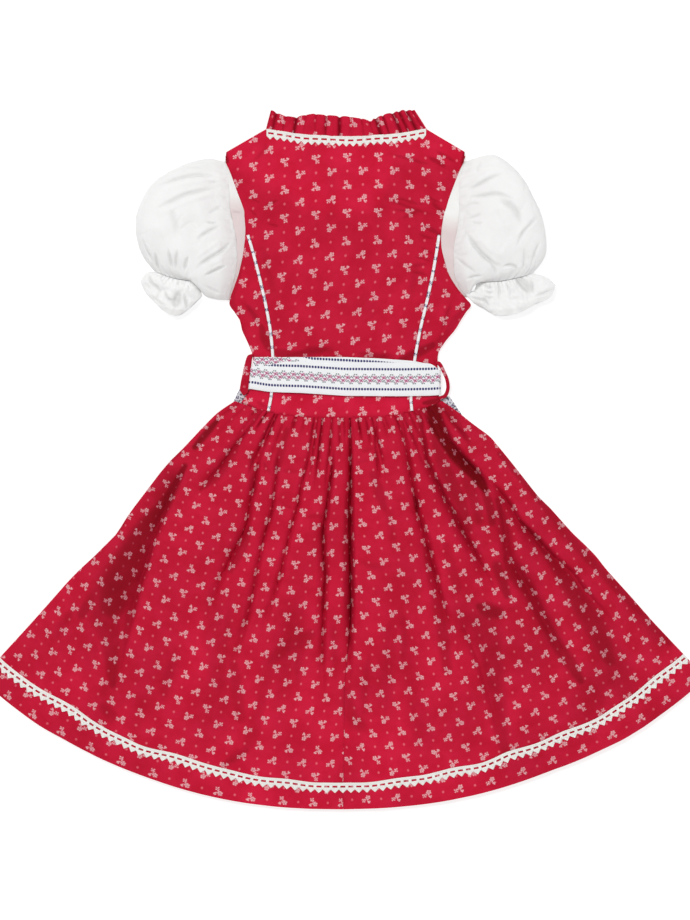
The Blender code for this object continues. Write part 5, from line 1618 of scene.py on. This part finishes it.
def belt_loop(word, edge, inner_edge):
    rows = np.linspace(0, 1, 90)
    across = np.linspace(0, 1, 13)
    grid = lerp(along(edge, rows)[:, None, :], along(inner_edge, rows)[:, None, :], across[None, :, None])
    z = LOOP_Z + LOOP_THICK - 1.1 * np.abs(2 * across - 1) ** 2.4
    z = z[None, :] + 0.2 * np.sin(14 * rows)[:, None] + 0.12 * np.sin(40 * rows + 1)[:, None]
    top = np.dstack([grid[..., 0], grid[..., 1], z])
    uv = np.stack([grid[..., 1], grid[..., 0]], 2) + 5.5
    shade = np.full(top.shape[:2], 0.38)
    name = "cloth_belt_loop_" + word
    made = shell(name, top, uv, UNDER_CLOTH, RED, turned=word == "right", painted_shade=shade)
    dress(made, "red_print_cotton", "belt_loop_" + word)


belt_loop("left", LOOP_LEFT, LOOP_INNER_LEFT)
belt_loop("right", LOOP_RIGHT, LOOP_INNER_RIGHT)


# Apron, which lies underneath
def apron():
    upper = APRON[:2]
    right = APRON[1:4]
    lower = APRON[3:8][::-1]
    left = (APRON[0], APRON[8], APRON[7])
    w, t = np.meshgrid(np.linspace(0, 1, 50), np.linspace(0, 1, 50))
    plan = coons(lambda s: straight(left, s), lambda s: straight(right, s),
                 lambda s: straight(upper, s), lambda s: straight(lower, s), w, t)
    x, y = plan[..., 0], plan[..., 1]
    top = np.dstack([x, y, np.full_like(x, TRIM)])
    made = shell("cloth_apron", top, np.stack([x, y], 2), UNDER_CLOTH, APRON_CLOTH)
    dress(made, "grey_apron_cotton", "apron")
    (x0, y0), (x1, y1) = upper
    x = np.linspace(WAISTBAND_LEFT, WAISTBAND_RIGHT, 60)[None, :] * np.ones((12, 1))
    rise = np.linspace(WAISTBAND_WIDTH, 0, 12)[:, None]
    y = lerp(y0, y1, (x - x0) / (x1 - x0)) + SEAM + rise
    top = np.dstack([x, y, np.full_like(x, TRIM)])
    uv = np.stack([x, BAND_HEIGHT * rise / WAISTBAND_WIDTH * np.ones_like(x)], 2)
    made = shell("cloth_apron_waistband", top, uv, UNDER_CLOTH, BAND)
    dress(made, "woven_band", "apron_waistband")


apron()


# Sleeves
def rounded(w, power):
    return np.sqrt(np.maximum(0.0, 1 - np.abs(2 * w - 1) ** power))


def around_places(over_count, under_count):
    k = np.linspace(0, 1, over_count)
    over = 0.5 * k + 0.25 * (1 - np.cos(math.pi * k))
    m = np.linspace(0, 1, under_count + 2)[1:-1]
    under = 0.5 * (1 + np.cos(math.pi * m))
    is_over = np.arange(over_count + under_count) < over_count
    return np.concatenate([over, under]), is_over


def tube(name, plan, heights, rows, over_count, under_count, wall, finish, folds, shift=0.0):
    w, is_over = around_places(over_count, under_count)
    rings = []
    for inside in (False, True):
        ww, tt = np.meshgrid(w, rows)
        ends = plan(np.stack([np.zeros(len(rows)), np.ones(len(rows))], 1), np.stack([rows, rows], 1))
        width = np.linalg.norm(ends[:, 0] - ends[:, 1], axis=1)[:, None]
        inset = wall / width if inside else 0 * width
        place = plan(inset + (1 - 2 * inset) * ww, tt)
        low, high = heights(ww, tt)
        half = (high - low) / 2
        if inside:
            half = np.maximum(half - wall, 0.3 * half)
        middle = (high + low) / 2
        z = np.where(is_over[None, :], middle + half, middle - half)
        edge = rounded(ww, 3)
        rise, dark = folds(place[..., 0], place[..., 1], ww, tt)
        z = z + np.where(is_over[None, :], rise * edge, 0.0)
        if not inside:
            shade = np.where(is_over[None, :], np.clip(dark, 0, 1) * edge, 0.0)
        z = np.maximum(z, 0.15 + (wall if inside else 0.0))
        rings.append(np.dstack([place[..., 0], place[..., 1], z]))
    girth, down = distances(rings[0])
    uv = np.stack([girth + shift, -np.repeat(down[:, None], len(w), 1)], 2)
    return ring_shell(name, rings[0], rings[1], uv, finish, shade)


LEFT_PUFF_CREASES = (
    (-2.6, 3, ((153, 189), (166, 184), (180, 179), (198, 176), (222, 177))),
    (2, 4.5, ((152, 195), (168, 190), (182, 186), (200, 182), (220, 183))),
    (-2.2, 3.2, ((153, 212), (172, 203), (186, 196), (208, 190), (222, 188))),
    (1.6, 4, ((156, 219), (175, 209), (190, 202), (210, 196), (222, 194))),
    (-1.3, 1.6, ((203, 182), (212, 183), (221, 182))),
    (-1.3, 2.2, ((184, 170), (194, 168), (204, 169))),
    (-1.3, 1.8, ((208, 215), (216, 210), (223, 205))),
    (-1.5, 1.6, ((204, 222), (212, 224), (220, 223.5))),
    (-2, 2.6, ((196, 243), (206, 234), (222, 226))),
    (-2.6, 2.6, ((194, 272), (203, 264), (212, 258), (225, 249), (232, 239))),
    (1.6, 3.5, ((194, 262), (206, 252), (222, 240))),
    (-3.2, 2, ((203, 278), (212, 273), (220, 269), (229, 265))),
    (1.6, 3, ((206, 268), (216, 263), (228, 257))),
    (-2.4, 2.6, ((156, 252), (157, 262), (160, 272))),
    (-2, 2.4, ((169, 249), (171, 260), (173, 272))),
    (-2, 2.4, ((179, 249), (177, 260), (177, 272))),
    (-2.2, 2.6, ((190, 256), (187, 264), (185, 274))),
    (-1.8, 2.6, ((142, 236), (148, 252), (156, 266))),
    (-1.6, 2.6, ((203, 285), (214, 291), (226, 294))),
    (-1.2, 5, ((170, 205), (176, 222), (178, 240))),
    (1.3, 6, ((150, 225), (160, 232), (168, 242))),
)
RIGHT_PUFF_CREASES = (
    (-2.4, 2.8, ((464, 191), (472, 188), (480, 184), (491, 178), (505, 173))),
    (1.8, 4, ((465, 184), (478, 178), (492, 170), (502, 166))),
    (-2.2, 2.8, ((463, 198), (480, 196.5), (495, 195), (507, 198), (517, 202))),
    (-2.2, 5, ((495, 199), (510, 207), (517, 216), (520, 228))),
    (2, 6, ((488, 206), (500, 213), (506, 226), (506, 238))),
    (-1.3, 1.8, ((466, 219), (475, 217), (482, 213))),
    (-1.3, 1.6, ((470, 222), (476, 224), (483, 223.5))),
    (-1.2, 1.4, ((464, 207), (473, 204), (481, 204))),
    (-3.2, 3.4, ((463, 229), (472, 243), (482, 256), (494, 265), (503, 268))),
    (2.2, 5.5, ((472, 232), (482, 244), (494, 254), (506, 258))),
    (-2, 2.2, ((500, 269), (508, 266), (515, 268), (516, 274))),
    (-2, 3, ((541, 214), (530, 225), (521, 236), (515, 250))),
    (1.6, 4, ((536, 216), (524, 228), (514, 240))),
    (-1.8, 2.4, ((454, 256), (465, 266), (477, 275))),
    (-2, 2.2, ((463, 281), (472, 278), (484, 276))),
    (-1.8, 2.4, ((540, 240), (534, 255), (530, 268))),
    (-1.6, 2.2, ((523, 248), (524, 260), (522, 272))),
    (-1.4, 2, ((488, 262), (494, 270), (496, 279))),
    (-1.2, 3, ((482, 160), (478, 168), (476, 176))),
    (-1.2, 2.5, ((520, 176), (523, 184), (524, 196))),
)


# Factors on a puff's laid folds: height of valleys, height of ridges, width
PUFF_VALLEY_GAIN = 1.1
PUFF_RIDGE_GAIN = 0.6
PUFF_NARROWING = 0.6


def sleeve(word, seam, outer, inner, crease_rows, seed):
    """Makes a sleeve and gives the line of its cuff."""
    outer = (seam[0],) + outer
    inner = (seam[-1],) + inner

    def cuff(w):
        x = lerp(outer[-1][0], inner[-1][0], w)
        y = lerp(outer[-1][1], inner[-1][1], w)
        return np.stack([x, y - CUFF_BOW * (1 - (2 * w - 1) ** 2)], -1)

    def plan(w, t):
        return coons(lambda s: along(outer, s), lambda s: along(inner, s),
                     lambda s: along(seam, s), cuff, w, t)

    height_of = rounded_table(PUFF_HEIGHT, 0.08)

    def heights(w, t):
        high = height_of(t) * (1 - 0.25 * w * np.sin(math.pi * t))
        low = STRIP_LOW * (1 - smooth(0.0, 0.15, t))
        middle = lerp(low, high, PUFF_MIDDLE)
        upper = middle + (high - middle) * rounded(w, 4.2)
        return middle - (middle - low) * rounded(w, 5), upper

    def folds(x, y, w, t):
        rows = []
        for height, width, line in crease_rows:
            gain = PUFF_VALLEY_GAIN if height < 0 else PUFF_RIDGE_GAIN
            rows.append((height * gain, PUFF_NARROWING * width, line))
        laid = creases(x, y, rows)
        total = laid.copy()
        seam_fold = np.abs(np.sin(math.pi * 17 * w + 1.9 * np.sin(9 * w) + 2.0 * t))
        total += (0.9 * seam_fold ** 0.7 - 0.6) * smooth(0, 0.02, t) * np.exp(-t / 0.06)
        broad = np.sin(2 * math.pi * 6 * w + 1.9 * np.sin(7 * w) + 1.2 * t)
        total += 0.5 * broad * smooth(0, 0.03, t) * np.exp(-t / 0.2)
        cuff_fold = np.abs(np.sin(math.pi * 11 * w + 2.3 * np.sin(6 * w) - 1.5 * t))
        total += (1.5 * cuff_fold ** 0.6 - 1.0) * np.exp(-(1 - t) / 0.07)
        fine = crumple(x, y, 20.0, seed + 3)
        total += 0.4 * ripples(x, y, 26.0, seed) + 0.10 * ripples(x, y, 11.0, seed + 1) - 0.7 * fine
        # Painted shade: darker in the creases, gathers and fine lines, at the cuff and the seam, and along
        # the left sleeve's outer rim
        at_edge = (0.17 if word == "left" else 0.0) * smooth(0.14, 0.0, w)
        at_cuff = 0.30 * (1 - cuff_fold) ** 2 * np.exp(-(1 - t) / 0.09)
        at_seam = 0.12 * (1 - seam_fold) ** 2 * np.exp(-t / 0.07)
        dark = 0.36 * np.clip(-laid / 2.4, 0, 1) + 0.04 * fine + at_edge
        return total, dark + (at_cuff + at_seam)

    rows = np.linspace(0, 1, 112)
    made = tube("cloth_sleeve_" + word, plan, heights, rows, 160, 26, THIN_CLOTH, WHITE, folds)
    dress(made, "white_cotton", "sleeve_" + word)
    return cuff


LEFT_FRILL_CREASES = (
    (-2.6, 1.5, ((147, 270), (149, 276), (152, 283), (158, 288), (164, 295))),
    (1.6, 3.5, ((154, 275), (161, 283), (170, 291))),
    (-2.2, 1.3, ((164, 290), (168, 298), (175, 302))),
    (-3.4, 4.2, ((179, 290), (177, 299), (175, 309))),
    (-2, 1.3, ((184, 291), (186, 302), (188, 312))),
    (-1.4, 2.2, ((188, 298), (194, 297), (200, 297))),
    (1.8, 5, ((186, 281), (192, 288), (197, 294))),
    (-1.4, 1.2, ((155, 299), (162, 304), (170, 306))),
    (-1.1, 1.1, ((159, 275), (163, 280), (165, 286))),
    (-1.1, 1.2, ((176, 276), (178, 282), (178, 288))),
    (-1.2, 1.3, ((187, 278), (189, 284), (190, 291))),
    (-1, 1.2, ((143, 281), (147, 285), (152, 291))),
    (1.2, 2, ((152, 293), (158, 299), (166, 302))),
)
RIGHT_FRILL_CREASES = (
    (-2.4, 1.4, ((467, 296), (476, 299), (486, 301), (490, 309))),
    (-2, 1.3, ((470, 302), (478, 306), (486, 311))),
    (-1.8, 1.1, ((483, 285), (488, 288), (493, 287))),
    (-1.8, 1.1, ((484, 290), (489, 293), (494, 292))),
    (-1.6, 1.1, ((483, 295), (488, 298), (494, 297))),
    (-3.2, 3.8, ((513, 278), (521, 283), (528, 290), (531, 296))),
    (2, 4, ((506, 284), (516, 292), (523, 301))),
    (-1.9, 1.3, ((531, 277), (532, 286), (532, 296))),
    (-1.8, 1.5, ((533, 297), (543, 294), (555, 288))),
    (1.5, 5, ((538, 281), (546, 285), (552, 289))),
    (-1.3, 1.6, ((497, 280), (499, 290), (498, 303))),
    (-1.1, 1.2, ((505, 281), (508, 290), (509, 301))),
    (-1.4, 1.3, ((540, 276), (546, 280), (553, 285))),
    (-1.2, 1.4, ((474, 312), (486, 313), (498, 312))),
)


def frill(word, cuff, first, last, far, crease_rows, seed):
    def start(w):
        return cuff(w) - np.array([0.0, SEAM + 0.2])

    ends = start(np.array([0.0, 1.0]))
    first = (tuple(ends[0]),) + first
    last = (tuple(ends[1]),) + last

    def plan(w, t):
        return coons(lambda s: along(first, s), lambda s: along(last, s), start,
                     lambda s: along(far, s), w, t)

    def heights(w, t):
        high = lerp(PUFF_HEIGHT[-1][1], FRILL_HEIGHT, t)
        middle = FRILL_MIDDLE * high
        upper = middle + (high - middle) * rounded(w, 3)
        return middle - middle * rounded(w, 5), upper

    def folds(x, y, w, t):
        laid = creases(x, y, crease_rows)
        total = laid.copy()
        gather = np.abs(np.sin(math.pi * 12 * w + 2.4 * np.sin(6 * w + seed) + 0.8 * t))
        total += (1.6 * gather ** 0.7 - 1.1) * np.exp(-t / 0.22)
        lobes = np.sin(2 * math.pi * 3.5 * w + 2.1 * np.sin(5 * w + seed) + 1.4 * t)
        total += 1.3 * t * lobes - 2.0 * np.maximum(t - 0.85, 0) / 0.15
        total += 0.5 * ripples(x, y, 12.0, seed) + 0.15 * ripples(x, y, 5.5, seed + 1)
        # Painted shade: darker in the creases and gathers, and towards the frill's outer edge
        dark = 0.42 * np.clip(-laid / 2.2, 0, 1) + 0.30 * (1 - gather) ** 2 * np.exp(-t / 0.2)
        return total, dark + 0.10 * smooth(0.8, 1.0, t)

    rows = np.linspace(0, 1, 50)
    made = tube("cloth_sleeve_frill_" + word, plan, heights, rows, 160, 22, FRILL_CLOTH, WHITE, folds, 40.0)
    dress(made, "white_cotton", "sleeve_frill_" + word)


STRIP_CREASES = {-1: ((-0.7, 0.9, ((229, 211), (237, 212), (244, 213))),), 1: ()}


def armhole_strip(side, word, seam):
    def plan(w, t):
        place = along(seam, w)
        x, y = place[..., 0], place[..., 1]
        edge = side_x(y, side) + side * STRIP_GAP
        return np.stack([lerp(edge, x, t), y], -1)

    def heights(w, t):
        high = lerp(STRIP_HIGH_AT_EDGE, STRIP_HIGH_AT_SLEEVE, t)
        middle = lerp(STRIP_LOW, high, STRIP_MIDDLE)
        swell = rounded(w, 8)
        return middle - (middle - STRIP_LOW) * swell, middle + (high - middle) * swell

    def folds(x, y, *_):
        laid = creases(x, y, STRIP_CREASES[side])
        # Painted shade in the crease
        return laid + 0.15 * ripples(x, y, 14.0, 50), 0.5 * np.clip(-laid, 0, 1)

    rows = np.linspace(0, 1, 8)
    name = "cloth_armhole_strip_" + word
    made = tube(name, plan, heights, rows, 120, 30, THIN_CLOTH, WHITE_WITH_PAINTED_SHADE[word], folds)
    dress(made, "white_cotton", "armhole_strip_" + word)


cuff_left = sleeve("left", SLEEVE_SEAM_LEFT, PUFF_OUTER_LEFT, PUFF_INNER_LEFT, LEFT_PUFF_CREASES, 61)
cuff_right = sleeve("right", SLEEVE_SEAM_RIGHT, PUFF_OUTER_RIGHT, PUFF_INNER_RIGHT, RIGHT_PUFF_CREASES, 71)
frill("left", cuff_left, FRILL_SIDE_LEFT, FRILL_INNER_LEFT, FRILL_FAR_LEFT, LEFT_FRILL_CREASES, 81)
frill("right", cuff_right, FRILL_SIDE_RIGHT, FRILL_INNER_RIGHT, FRILL_FAR_RIGHT, RIGHT_FRILL_CREASES, 91)
armhole_strip(-1, "left", SLEEVE_SEAM_LEFT)
armhole_strip(1, "right", SLEEVE_SEAM_RIGHT)


# Floor, light and camera
FLOOR_HALF = 6
FLOOR_Z = -0.0004


def floor():
    mesh = bpy.data.meshes.new("floor")
    corners = ((-1, -1), (1, -1), (1, 1), (-1, 1))
    mesh.from_pydata([(FLOOR_HALF * x, FLOOR_HALF * y, FLOOR_Z) for x, y in corners], [], [(0, 1, 2, 3)])
    made = bpy.data.objects.new("floor", mesh)
    bpy.context.collection.objects.link(made)
    f = Finish("pale_floor")
    f.feed(f.shader.inputs["Base Color"], (0.4, 0.4, 0.4, 1))
    f.feed(f.shader.inputs["Roughness"], 0.9)
    f.feed(f.shader.inputs["Emission Color"], (1, 1, 1, 1))
    f.feed(f.shader.inputs["Emission Strength"], 0.7)
    mesh.materials.append(f.material)


def light(name, place, size, power):
    data = bpy.data.lights.new(name, "AREA")
    data.shape = "DISK"
    data.size = size
    data.energy = power
    made = bpy.data.objects.new(name, data)
    made.location = place
    made.rotation_mode = "QUATERNION"
    made.rotation_quaternion = Vector(-np.array(place)).to_track_quat("-Z", "Y")
    bpy.context.collection.objects.link(made)


floor()
light("key", (-1.9, 2.2, 5.3), 1.8, 187.0)
light("fill", (3.2, -2.0, 3.0), 2.0, 44.0)
world = bpy.data.worlds.new("studio")
world.use_nodes = True
background = world.node_tree.nodes["Background"]
background.inputs[0].default_value = (1, 1, 1, 1)
background.inputs[1].default_value = 0.45
bpy.context.scene.world = world
bpy.context.scene.view_settings.view_transform = "Standard"

# The picture's long side covers PHOTO_LENGTH at CLOTH_HEIGHT, in metres
CAMERA_HEIGHT = 3.0
CLOTH_HEIGHT = 0.006
PHOTO_LENGTH = 0.92
SENSOR = 36.0
camera_data = bpy.data.cameras.new("camera")
camera_data.sensor_fit = "AUTO"
camera_data.sensor_width = SENSOR
camera_data.lens = SENSOR * (CAMERA_HEIGHT - CLOTH_HEIGHT) / PHOTO_LENGTH
camera = bpy.data.objects.new("camera", camera_data)
camera.location = (0.002, -0.0005, CAMERA_HEIGHT)
bpy.context.collection.objects.link(camera)
bpy.context.scene.camera = camera
